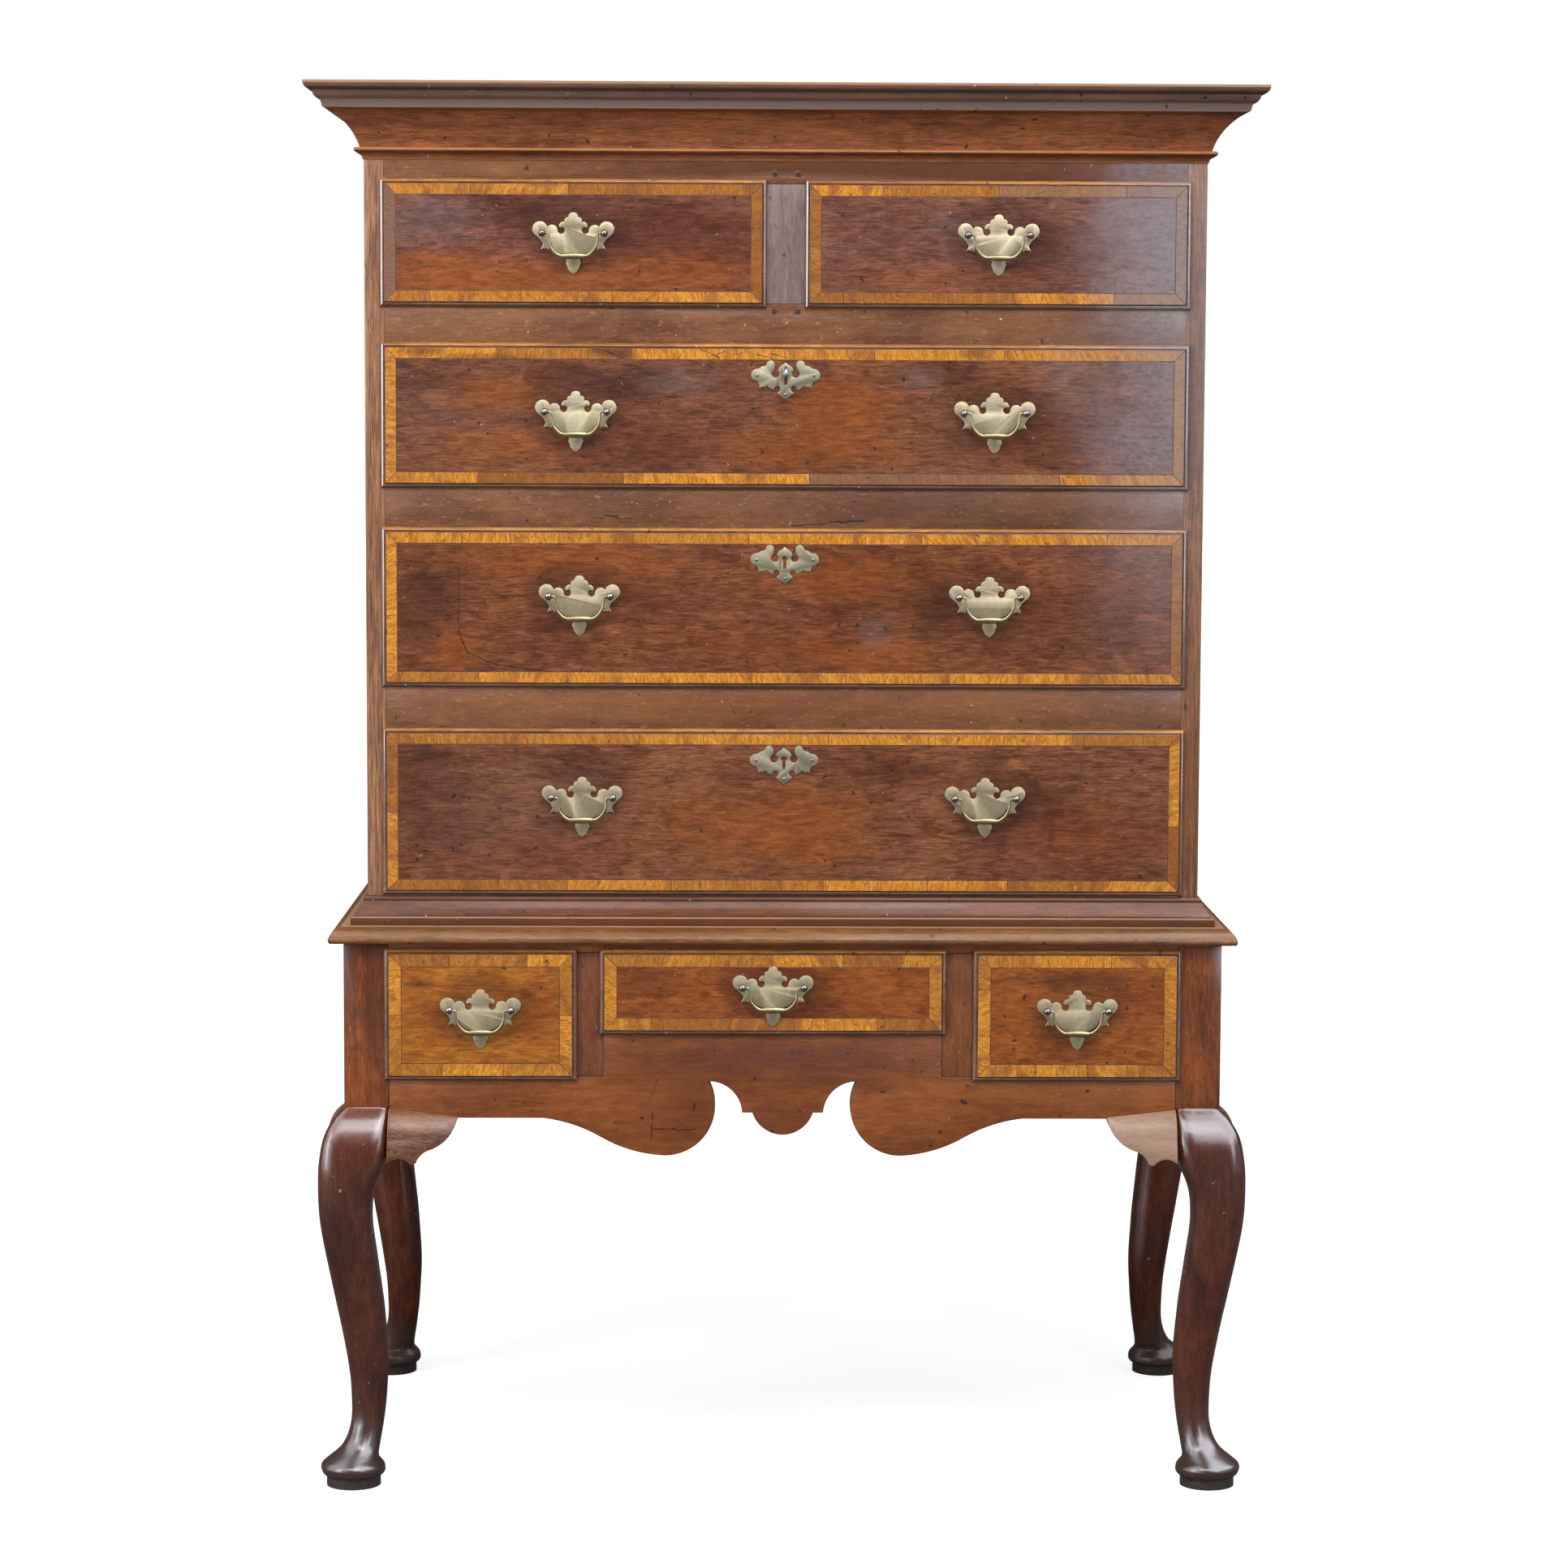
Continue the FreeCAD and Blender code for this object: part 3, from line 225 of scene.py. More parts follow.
def oak_colour(tree, spot, seed, dark, light, lines=0.35, pores=0.5, rays=0.0):
    """Oak's colour from its figure; returns the colour, the figure and the surface nodes."""
    figure = place(tree, "Group", {"Vector": spot, "Seed": seed}, node_tree=OAK_FIGURE)
    age = place(tree, "Group", {"Vector": spot, "Seed": seed}, node_tree=OLD_SURFACE)
    blend = sums(tree, "MULTIPLY", figure.outputs["Blotches"], 0.42)
    blend = sums(tree, "MULTIPLY_ADD", figure.outputs["Bands"], 0.26, blend)
    blend = sums(tree, "MULTIPLY_ADD", figure.outputs["Mottle"], 0.32, blend)
    colour = mixed(tree, between(tree, blend, 0.38, 0.62), dark, light)
    colour = shaded(tree, colour, between(tree, figure.outputs["Lines"], 0.3, 0.7, 1.0 - lines, 1.0 + lines))
    deep = tuple(channel * 0.22 for channel in dark)
    colour = stained(tree, colour, figure.outputs["Pores"], pores, deep)
    if rays:
        colour = stained(tree, colour, figure.outputs["Rays"], rays, (0.5, 0.27, 0.1))
    return colour, figure, age


def painted_sheen_on(tree, colour, strength, tint):
    """Lay the painted grey sheen of a window over a colour."""
    where = place(tree, "TexCoord").outputs
    sheen_mask = place(tree, "Group", {"Vector": where["Object"], "Normal": where["Normal"]},
                 node_tree=PAINTED_WINDOW_SHEEN).outputs[0]
    return stained(tree, colour, sheen_mask, strength, tint)


def relief(tree, height, strength, deep):
    """Bumps of the surface, as deep as is given at most."""
    return place(tree, "Bump", {"Strength": strength, "Distance": deep, "Height": height}).outputs[0]


def worn_arris(tree):
    """Mask of the faces that easing the arrises has made."""
    return place(tree, "Attribute", {}, attribute_name="worn").outputs["Fac"]


def polish(tree, shader, colour, figure, age, rough, specks=0.5, dents=0.7, bump=0.25, coat=0.25,
           coat_rough=0.16, coat_gloss=1.5, gloss=0.22, sheen_share=0.0, height=None,
           edge=(0.340, 0.150, 0.060), edge_share=0.5):
    """Finish the surface: specks and dents, worn arrises, a painted window sheen, uneven wax, and the grain
    as relief.
    """
    colour = stained(tree, colour, age.outputs["Specks"], specks, (0.62, 0.58, 0.55))
    colour = stained(tree, colour, age.outputs["Dents"], dents, (0.018, 0.010, 0.007))
    colour = stained(tree, colour, worn_arris(tree), edge_share, edge)
    # a grey sheen painted into the colour where the front would mirror a window
    if sheen_share:
        colour = painted_sheen_on(tree, colour, sheen_share, (0.255, 0.225, 0.245))
    height = figure.outputs["Height"] if height is None else height
    fill(tree, shader, {
        "Base Color": colour, "Normal": relief(tree, height, bump, 0.6 * MM),
        "Roughness": between(tree, age.outputs["Smears"], 0.3, 0.7, rough - 0.07, rough + 0.09),
        "Specular IOR Level": gloss, "Coat Weight": coat, "Coat Roughness": coat_rough,
        "Coat IOR": coat_gloss})


def made_object(name, bm, finishes, degrees=None):
    """Object of a shape and its finishes, smooth where its faces meet at less than some degrees."""
    mesh = bpy.data.meshes.new(name)
    bm.to_mesh(mesh)
    bm.free()
    for finish in finishes:
        mesh.materials.append(finish)
    if degrees:
        for face in mesh.polygons:
            face.use_smooth = True
        mesh.set_sharp_from_angle(angle=math.radians(degrees))
    piece = bpy.data.objects.new(name, mesh)
    bpy.context.scene.collection.objects.link(piece)
    return piece


def in_one_piece(middle, normal):
    """Counts every face as part 0."""
    return 0


def worked_copy(node, ease, finishes, part_of=in_one_piece, smooth=38.0, cut=None):
    """Copy of a CAD node with eased arrises that stands for it.

    part_of says which of the node's parts, and so which finish, a face belongs to. cut may work
    the bare shape further before its arrises are eased."""
    source = frame["nodes"][node].data
    joined = bmesh.new()
    joined.loops.layers.float_color.new("worn")
    for part in range(len(finishes)):
        bm = bmesh.new()
        bm.from_mesh(source)
        others = [face for face in bm.faces if part_of(face.calc_center_median(), face.normal) != part]
        bmesh.ops.delete(bm, geom=others, context="FACES")
        bmesh.ops.remove_doubles(bm, verts=bm.verts, dist=1e-5)
        bmesh.ops.dissolve_limit(bm, angle_limit=math.radians(0.3), verts=bm.verts, edges=bm.edges)
        if cut:
            cut(bm)
        arrises = [edge for edge in bm.edges
                   if len(edge.link_faces) == 2 and edge.calc_face_angle(0.0) > math.radians(28.0)]
        eased = set()
        if ease:
            eased = set(bmesh.ops.bevel(bm, geom=arrises, offset=ease, affect="EDGES", segments=2,
                                        profile=0.5, material=-1, clamp_overlap=True)["faces"])
        part_worn = bm.loops.layers.float_color.new("worn")
        for face in bm.faces:
            face.material_index = part
            value = 1.0 if face in eased else 0.0
            for loop in face.loops:
                loop[part_worn] = (value, value, value, 1.0)
        piece = bpy.data.meshes.new("part")
        bm.to_mesh(piece)
        bm.free()
        joined.from_mesh(piece)
        bpy.data.meshes.remove(piece)
    piece = made_object("worked_" + node, joined, finishes, smooth)
    for body, names in frame["record"]["behaviour"]["bodies"].items():
        if node in names:
            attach(piece, body)
    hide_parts(node)
    return piece


def leg_finish(name, coat):
    """Dark polished oak, paler and less red on the post above and dull grey brown at the foot."""
    finish, tree, shader = new_finish(name)
    spot = object_spot(tree, ALONG_Z)
    colour, figure, age = oak_colour(tree, spot, 3.1, (0.046, 0.0115, 0.0050), (0.122, 0.030, 0.0105),
                                     lines=0.30, pores=0.45)
    high = axes(tree, own_place(tree))[2]
    ragged = sums(tree, "ADD", high, sums(tree, "MULTIPLY", age.outputs["Smears"], 0.05))
    colour = mixed(tree, between(tree, ragged, 0.120, 0.060, 0.0, 0.75), colour, (0.046, 0.031, 0.026))
    colour = mixed(tree, between(tree, high, 0.018, 0.014, 0.0, 0.75), colour, (0.036, 0.029, 0.026))
    colour = mixed(tree, between(tree, high, 0.425, 0.45), colour, (2.10, 2.15, 1.50), "MULTIPLY")
    polish(tree, shader, colour, figure, age, 0.38, specks=0.45, dents=0.6, bump=0.18, coat=coat,
           coat_rough=0.23, coat_gloss=1.7, gloss=0.10, edge=(0.120, 0.052, 0.030), edge_share=0.45)
    return finish


def cut_level(bm, height):
    """Divide a whole shape with a level plane."""
    bmesh.ops.bisect_plane(bm, geom=bm.verts[:] + bm.edges[:] + bm.faces[:], dist=1e-7,
                           plane_co=(0, 0, height), plane_no=(0, 0, 1))


def sole_ring(bm):
    """Turn the underside of the pad in to a narrower ring that stands on the floor."""
    sole = [corner.co.xy for corner in bm.verts if corner.co.z < 0.2 * MM]
    centre = (Vector(map(min, zip(*sole))) + Vector(map(max, zip(*sole)))) / 2
    ring_top, pad_edge = 12.0 * MM, 18.4 * MM
    ring, pad = 30.8 * MM, 36.4 * MM
    for height in (ring_top, 12.3 * MM, 13.0 * MM, 14.2 * MM, 16.0 * MM):
        cut_level(bm, height)
    for corner in bm.verts:
        out = corner.co.xy - centre
        if corner.co.z < pad_edge - 0.01 * MM and out.length > 20.0 * MM:
            share = max(0.0, corner.co.z - ring_top) / (pad_edge - ring_top)
            radius = ring + (pad - ring) * math.sqrt(1.0 - (1.0 - share) ** 2)
            corner.co.xy = centre + out.normalized() * radius


leg_oak = leg_finish("Leg oak", 0.75)
back_leg_oak = leg_finish("Back leg oak", 0.14)
for corner in ("front_right", "front_left", "back_right", "back_left"):
    oak = leg_oak if corner.startswith("front") else back_leg_oak
    worked_copy("leg_" + corner, 0.9 * MM, [oak], cut=sole_ring)

# ------------------------------------------------------------------ apron, sides and back of the stand
# Boards of oak tenoned between the posts, with the apron sawn to a lobed outline. The front is a
# warm red brown with knocks and small shakes; the brackets glued beside the knees are duller.


def soft_patch():
    """Ragged patch round a centre that fades out at a reach given for each axis."""
    tree, given, out = group_start("Soft patch", [("Vector", "Vector", None), ("Centre", "Vector", None),
                                                  ("Reach", "Vector", None)], [("Mask", "Float")])
    drawn = vectors(tree, "MULTIPLY", given["Vector"], (0.65, 1.0, 2.4))
    ragged = place(tree, "TexNoise", {"Vector": drawn, "Scale": 32.0, "Detail": 5.0,
                                      "Roughness": 0.68}).outputs["Color"]
    away = vectors(tree, "SUBTRACT", given["Vector"], given["Centre"])
    away = vectors(tree, "DIVIDE", away, given["Reach"])
    ragged = vectors(tree, "SUBTRACT", ragged, (0.5, 0.5, 0.5))
    away = vectors(tree, "MULTIPLY_ADD", ragged, (1.6, 0.0, 1.6), away)
    fill(tree, out, {"Mask": between(tree, measured(tree, "LENGTH", away), 1.35, 0.15)})
    return tree


def scratch():
    """Thin wandering stroke between two points of the front, wider in some places than others."""
    tree, given, out = group_start("Scratch", [("Vector", "Vector", None), ("From", "Vector", None),
                                               ("To", "Vector", None), ("Width", "Float", 0.001)],
                                   [("Mask", "Float")])
    noise = place(tree, "TexNoise", {"Vector": given["Vector"], "Scale": 150.0, "Detail": 3.0})
    bent = vectors(tree, "MULTIPLY_ADD", noise.outputs["Color"], (0.0035, 0.0, 0.0035), given["Vector"])
    flat = vectors(tree, "MULTIPLY", bent, (1.0, 0.0, 1.0))
    away = vectors(tree, "SUBTRACT", flat, given["From"])
    along = vectors(tree, "SUBTRACT", given["To"], given["From"])
    share = sums(tree, "DIVIDE", measured(tree, "DOT_PRODUCT", away, along),
                 measured(tree, "DOT_PRODUCT", along, along))
    share = sums(tree, "MINIMUM", sums(tree, "MAXIMUM", share, 0.0), 1.0)
    met = place(tree, "VectorMath", {0: along, "Scale": share}, operation="SCALE").outputs[0]
    off = measured(tree, "DISTANCE", away, met)
    wide = sums(tree, "MULTIPLY", given["Width"], between(tree, noise.outputs["Fac"], 0.3, 0.65, 0.35, 1.15))
    fill(tree, out, {"Mask": between(tree, off, wide, sums(tree, "MULTIPLY", wide, 0.3))})
    return tree


SOFT_PATCH = soft_patch()
SCRATCH = scratch()


def board_by_board(tree, spot, across, width, start):
    """Change the figure from one board to the next; returns the place and a mask of the joints."""
    count = sums(tree, "DIVIDE", sums(tree, "SUBTRACT", axes(tree, spot)[across], start), width)
    index = sums(tree, "FLOOR", count)
    off_middle = sums(tree, "ABSOLUTE", sums(tree, "SUBTRACT", sums(tree, "FRACT", count), 0.5))
    joint = between(tree, off_middle, 0.5 - 0.0012 / width, 0.5 - 0.0004 / width)
    shift = place(tree, "CombineXYZ", {axis: sums(tree, "MULTIPLY", index, far)
                                       for axis, far in enumerate((3.7, 1.9, 2.3))}).outputs[0]
    return vectors(tree, "ADD", spot, shift), joint


def patched(tree, colour, patches):
    """Lay soft patches over a colour; each gives x, z, its reach in x and z, strength and tint."""
    spot = own_place(tree)
    for x, z, wide, tall, strength, tint in patches:
        feeds = {"Vector": spot, "Centre": (x, 0.0, z), "Reach": (wide, 100.0, tall)}
        mask = place(tree, "Group", feeds, node_tree=SOFT_PATCH).outputs[0]
        colour = stained(tree, colour, mask, strength, tint)
    return colour


def scratched(tree, colour, height, strokes):
    """Cut dark strokes into a colour and a height; each gives x, z, x, z and its width."""
    tint = (0.022, 0.012, 0.010)
    spot = own_place(tree)
    for x, z, to_x, to_z, width in strokes:
        feeds = {"Vector": spot, "From": (x, 0.0, z), "To": (to_x, 0.0, to_z), "Width": width}
        mask = place(tree, "Group", feeds, node_tree=SCRATCH).outputs[0]
        colour = stained(tree, colour, mask, 0.85, tint)
        height = sums(tree, "MULTIPLY_ADD", mask, -3.0, height)
    return colour, height


def oak_finish(name, turn, seed, dark, light, rough=0.42, lines=0.35, pores=0.5, rays=0.0, specks=0.5,
               dents=0.7, coat=0.25, sheen_share=0.0, patches=(), strokes=(), boards=None, long=1.0, **edge):
    """Oak between two colours, with its grain along turn, in boards of one width where boards says so."""
    finish, tree, shader = new_finish(name)
    spot = object_spot(tree, turn)
    if boards:
        spot, joint = board_by_board(tree, spot, *boards)
    if long != 1.0:
        spot = vectors(tree, "MULTIPLY", spot, (1.0 / long, 1.0, 1.0))
    colour, figure, age = oak_colour(tree, spot, seed, dark, light, lines, pores, rays)
    if boards:
        colour = stained(tree, colour, joint, 0.8, (0.024, 0.012, 0.008))
    colour = patched(tree, colour, patches)
    colour, height = scratched(tree, colour, figure.outputs["Height"], strokes)
    polish(tree, shader, colour, figure, age, rough, specks, dents, coat=coat, sheen_share=sheen_share, height=height,
           **edge)
    return finish


DARK_JOINT = {"edge": (0.022, 0.011, 0.008), "edge_share": 0.85}
stand_across = oak_finish(
    "Stand oak", ALONG_X, 7.3, (0.172, 0.044, 0.013), (0.310, 0.094, 0.022), rough=0.40, lines=0.15,
    pores=0.35, specks=0.3, dents=0.9,
    patches=((0.0, 0.494, 0.270, 0.034, 0.85, (0.085, 0.024, 0.012)),
             (-0.120, 0.440, 0.060, 0.040, 0.45, (0.150, 0.038, 0.016)),
             (0.0, 0.420, 0.060, 0.040, 0.45, (0.130, 0.032, 0.015)),
             (0.330, 0.455, 0.150, 0.020, 0.40, (0.270, 0.090, 0.022))),
    strokes=((-0.1457, 0.4321, -0.1476, 0.4026, 0.0013), (0.2060, 0.4470, 0.2100, 0.4462, 0.0030),
             (-0.1457, 0.4144, -0.1200, 0.4150, 0.0014), (-0.118, 0.4130, -0.0972, 0.4146, 0.0010),
             (-0.1470, 0.4550, -0.1400, 0.4720, 0.0010), (-0.0750, 0.4960, -0.0770, 0.5120, 0.0010),
             (-0.3050, 0.4470, -0.2700, 0.4440, 0.0008), (-0.0980, 0.4440, -0.0990, 0.4360, 0.0014)),
    **DARK_JOINT)
stand_upright = oak_finish("Stand oak upright", ALONG_Z, 8.1, (0.125, 0.036, 0.014), (0.220, 0.074, 0.026),
                           rough=0.40, lines=0.25, **DARK_JOINT)
stand_side = oak_finish("Stand side oak", ALONG_Y, 9.4, (0.110, 0.036, 0.018), (0.215, 0.078, 0.032),
                        rough=0.42)
# the pale patch on the right bracket is a painted sheen
bracket_oak = oak_finish(
    "Bracket oak", ALONG_X, 5.2, (0.118, 0.044, 0.022), (0.200, 0.083, 0.042), rough=0.34, lines=0.65,
    pores=0.8, coat=0.12, rays=0.2, patches=((0.410, 0.410, 0.100, 0.080, 0.50, (0.540, 0.370, 0.260)),
                                             (-0.420, 0.425, 0.050, 0.012, 0.4, (0.300, 0.120, 0.045))))
bracket_side_oak = oak_finish("Bracket oak of the sides", ALONG_Y, 5.9, (0.190, 0.080, 0.040),
                              (0.30, 0.140, 0.068), rough=0.36, coat=0.4)
RAIL_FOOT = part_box("stand_rail_and_uprights")[1].z - 11.3 * MM
BRACKET_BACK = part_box("knee_brackets")[0].y + 32.0 * MM
INSIDE_POSTS, BACK_END = 448.0 * MM, 474.5 * MM


def rail_or_upright(middle, normal):
    """0 for the rail, 1 for the uprights below it."""
    at_joint = abs(middle.z - RAIL_FOOT) < 0.2 * MM
    return 0 if (middle.z > RAIL_FOOT and not at_joint) or (at_joint and normal.z < 0) else 1


def front_or_side_bracket(middle, normal):
    """0 for the two brackets under the apron, 1 for those along the sides."""
    return 0 if middle.y < BRACKET_BACK and abs(middle.x) < INSIDE_POSTS else 1


def side_or_back(middle, normal):
    """0 for the side boards of the stand, 1 for its back board."""
    return 0 if abs(middle.x) > BACK_END else 1


worked_copy("stand_apron", 0.6 * MM, [stand_across])
worked_copy("stand_rail_and_uprights", 0.6 * MM, [stand_across, stand_upright], rail_or_upright)
worked_copy("stand_sides_and_back", 0.8 * MM, [stand_side, stand_across], side_or_back)
worked_copy("knee_brackets", 0.6 * MM, [bracket_oak, bracket_side_oak], front_or_side_bracket)

# ------------------------------------------------------------------ frame and waist moulding
# The posts carry a frame with a thumb-moulded edge, and on it lies a mitred moulding that holds
# the foot of the upper case. Both are oak planed to shape, with a pale worn arris at the lip and
# thin lines of painted highlight and painted shade along their members.


def banded_by_height(tree, colour, top, rows):
    """Tint a moulding between two depths below its top, in mm; each row adds a strength and a tint."""
    depth = sums(tree, "SUBTRACT", top, axes(tree, own_place(tree))[2])
    soft = 0.35 * MM
    for upper, lower, strength, tint in rows:
        inside = sums(tree, "MULTIPLY", between(tree, depth, upper * MM - soft, upper * MM + soft),
                      between(tree, depth, lower * MM + soft, lower * MM - soft))
        colour = stained(tree, colour, inside, strength, tint)
    return colour


def moulding_finishes(name, seeds, dark, light, top, rows, coat=0.22):
    """Oak moulding whose members differ in tone, with lines of painted highlight and shade: its front length,
    and the ones at the sides.
    """
    both = []
    for ending, turn, seed in (("", ALONG_X, seeds[0]), (" of the sides", ALONG_Y, seeds[1])):
        finish, tree, shader = new_finish(name + ending)
        spot = object_spot(tree, turn)
        colour, figure, age = oak_colour(tree, spot, seed, dark, light, lines=0.38, pores=0.4)
        colour = banded_by_height(tree, colour, top, rows)
        polish(tree, shader, colour, figure, age, 0.42, specks=0.7, dents=0.9, bump=0.2, coat=coat,
               gloss=0.12, edge=(0.360, 0.200, 0.105), edge_share=0.4)
        both.append(finish)
    return both


WAIST_TOP, EDGE_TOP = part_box("waist_moulding")[1].z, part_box("stand_top_frame")[1].z
# tone of each member; the thin light lines are painted highlights on ledges and arrises, the thin dark lines
# painted shade under them
WAIST_ROWS_WITH_PAINTED_LIGHT = ((-1.0, 5.6, 0.50, (0.066, 0.030, 0.020)), (21.0, 22.3, 0.75, (0.034, 0.017, 0.011)),
              (22.3, 23.7, 0.80, (0.400, 0.250, 0.140)), (23.7, 31.0, 0.55, (0.112, 0.038, 0.019)),
              (31.0, 33.0, 0.60, (0.036, 0.018, 0.012)))
EDGE_ROWS_WITH_PAINTED_LIGHT = ((-1.0, 0.45, 0.85, (0.460, 0.280, 0.160)), (0.45, 1.8, 0.45, (0.110, 0.045, 0.020)),
             (5.0, 9.5, 0.30, (0.300, 0.160, 0.085)), (15.5, 19.5, 0.50, (0.090, 0.036, 0.018)))
waist_oak = moulding_finishes("Waist oak", (11.7, 12.5), (0.092, 0.025, 0.009), (0.164, 0.050, 0.016),
                              WAIST_TOP, WAIST_ROWS_WITH_PAINTED_LIGHT)
edge_oak = moulding_finishes("Frame oak", (13.9, 14.8), (0.141, 0.048, 0.014), (0.246, 0.102, 0.031),
                             EDGE_TOP, EDGE_ROWS_WITH_PAINTED_LIGHT)
CASE_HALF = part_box("upper_side_boards")[1].x
CASE_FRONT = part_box("upper_side_boards")[0].y


def side_of_mitre(middle, normal):
    """0 for a front length of moulding, 1 for the lengths along the sides."""
    across = (abs(middle.x) - CASE_HALF) - (CASE_FRONT - middle.y)
    if abs(across) < 0.0002 and abs(abs(normal.x) - 0.7071) < 0.02 and abs(normal.z) < 0.02:
        return 0 if normal.x * middle.x > 0 else 1
    return 1 if across > 0 else 0


def sunk_fillet(bm):
    """Step the moulding back by a little above a line on its slope."""
    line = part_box("waist_moulding")[0].z + 9.3 * MM
    kept = 0.91
    for height in (line, line + 0.05 * MM):
        cut_level(bm, height)
    for corner in bm.verts:
        if corner.co.z > line + 0.04 * MM:
            out = abs(corner.co.x) - CASE_HALF
            if out > 0:
                corner.co.x = math.copysign(CASE_HALF + out * kept, corner.co.x)
            if corner.co.y < CASE_FRONT:
                corner.co.y = CASE_FRONT + (corner.co.y - CASE_FRONT) * kept


worked_copy("waist_moulding", 0.6 * MM, waist_oak, side_of_mitre, cut=sunk_fillet)
worked_copy("stand_top_frame", 0.7 * MM, edge_oak, side_of_mitre)

# ------------------------------------------------------------------ upper case
# Side boards, rails and the short upright are oak joined with tenons, those of the upright
# pegged. Under old wax the rails have gone brown and the upright grey.

rail_oak = oak_finish(
    "Rail oak", ALONG_X, 17.2, (0.119, 0.044, 0.021), (0.228, 0.094, 0.040), rough=0.36, lines=0.17,
    pores=0.35, rays=0.25, specks=0.7, sheen_share=0.7,
    patches=((-0.310, 1.495, 0.080, 0.010, 0.5, (0.330, 0.140, 0.050)),
             (0.150, 0.900, 0.300, 0.030, 0.4, (0.230, 0.085, 0.026)),
             (-0.200, 0.890, 0.260, 0.022, 0.4, (0.230, 0.085, 0.026)),
             (0.150, 1.120, 0.260, 0.030, 0.4, (0.110, 0.045, 0.030)),
             (0.130, 1.495, 0.480, 0.040, 0.80, (0.098, 0.032, 0.015))),
    strokes=((-0.199, 1.1090, -0.187, 1.1084, 0.0026), (-0.215, 1.1066, -0.170, 1.1060, 0.0011),
             (0.052, 1.1026, 0.091, 1.1040, 0.0024), (0.008, 1.0984, 0.052, 1.1012, 0.0011),
             (0.190, 1.118, 0.205, 1.124, 0.0008), (-0.060, 0.898, -0.052, 0.885, 0.0006)),
    **DARK_JOINT)
side_oak = oak_finish(
    "Side oak", ALONG_Z, 18.6, (0.178, 0.072, 0.037), (0.352, 0.165, 0.082), rough=0.42, lines=0.55,
    pores=0.8, specks=0.6, sheen_share=0.25, boards=(1, 0.190, -0.075), long=2.6, rays=0.25,
    patches=((0.466, 1.290, 0.030, 0.260, 0.65, (0.088, 0.058, 0.044)),
             (0.466, 0.860, 0.030, 0.200, 0.50, (0.160, 0.058, 0.024)),
             (0.455, 0.760, 0.006, 0.070, 0.50, (0.330, 0.110, 0.030))))
upright_oak = oak_finish("Upright oak", ALONG_Z, 19.3, (0.131, 0.083, 0.074), (0.242, 0.166, 0.144),
                         rough=0.34, lines=0.2, pores=0.35, specks=0.8, **DARK_JOINT)
peg_oak = oak_finish("Peg oak", ALONG_Y, 20.4, (0.030, 0.016, 0.011), (0.075, 0.038, 0.024), rough=0.4)
worked_copy("upper_side_boards", 1.2 * MM, [side_oak])
worked_copy("upper_front_rails", 0.6 * MM, [rail_oak])
worked_copy("upper_centre_upright", 0.6 * MM, [upright_oak])
worked_copy("joint_pegs", 0.5 * MM, [peg_oak])

# Boards that are never polished: back planks, top and bottom, runners and drawer linings. They
# are plain sawn oak, dry and brown grey.

PLANK = 224.75 * MM
NAIL_GAP, NAIL_ROW, FIRST_ROW = 74.9 * MM, 449.0 * MM, 665.0 * MM


def nailed(finish):
    """Rows of flat nail heads, gone black, with rust round them, that hold the back planks."""
    tree = finish.node_tree
    shader = tree.nodes["Principled BSDF"]
    parts = axes(tree, own_place(tree))
    away = []
    for value, step, start in ((parts[0], NAIL_GAP, NAIL_GAP / 2), (parts[2], NAIL_ROW, FIRST_ROW)):
        count = sums(tree, "DIVIDE", sums(tree, "SUBTRACT", value, start), step)
        share = sums(tree, "SUBTRACT", sums(tree, "FRACT", sums(tree, "ADD", count, 0.5)), 0.5)
        away.append(sums(tree, "MULTIPLY", share, step))
    squared = sums(tree, "MULTIPLY_ADD", away[0], away[0], sums(tree, "MULTIPLY", away[1], away[1]))
    near = sums(tree, "SQRT", squared)
    colour = shader.inputs["Base Color"].links[0].from_socket
    rust = mixed(tree, between(tree, near, 0.010, 0.004, 0.0, 0.6), colour, (0.045, 0.024, 0.016))
    head = mixed(tree, between(tree, near, 0.0042, 0.0034), rust, (0.016, 0.013, 0.012))
    tree.links.new(head, shader.inputs["Base Color"])


lining = oak_finish("Bare oak", ALONG_Y, 23.5, (0.190, 0.115, 0.062), (0.330, 0.215, 0.125),
                    rough=0.72, lines=0.35, pores=0.5, specks=0.2, dents=0.5, coat=0.0)
back_planks = oak_finish("Back planks", ALONG_Z, 24.2, (0.120, 0.075, 0.045), (0.230, 0.150, 0.090),
                         rough=0.75, lines=0.55, pores=0.7, specks=0.2, dents=0.8, coat=0.0,
                         boards=(2, PLANK, 0.0), long=3.0, **DARK_JOINT)
nailed(back_planks)
flat_boards = oak_finish("Top and bottom boards", ALONG_X, 25.4, (0.110, 0.068, 0.042),
                         (0.225, 0.145, 0.088), rough=0.75, lines=0.55, pores=0.8, specks=0.2,
                         dents=0.8, coat=0.0, boards=(1, 0.270, 0.0), long=3.0, **DARK_JOINT)
worked_copy("upper_top_and_bottom_boards", 0.8 * MM, [flat_boards])


def which_plank(middle, normal):
    """Number of the plank, counted from the left; a face in a joint goes with the plank it closes."""
    return min(3, max(0, math.floor((middle.x - normal.x * MM) / PLANK) + 2))


worked_copy("upper_back_boards", 1.2 * MM, [back_planks] * 4, which_plank)
frame["nodes"]["drawer_runners"].data.materials[0] = lining
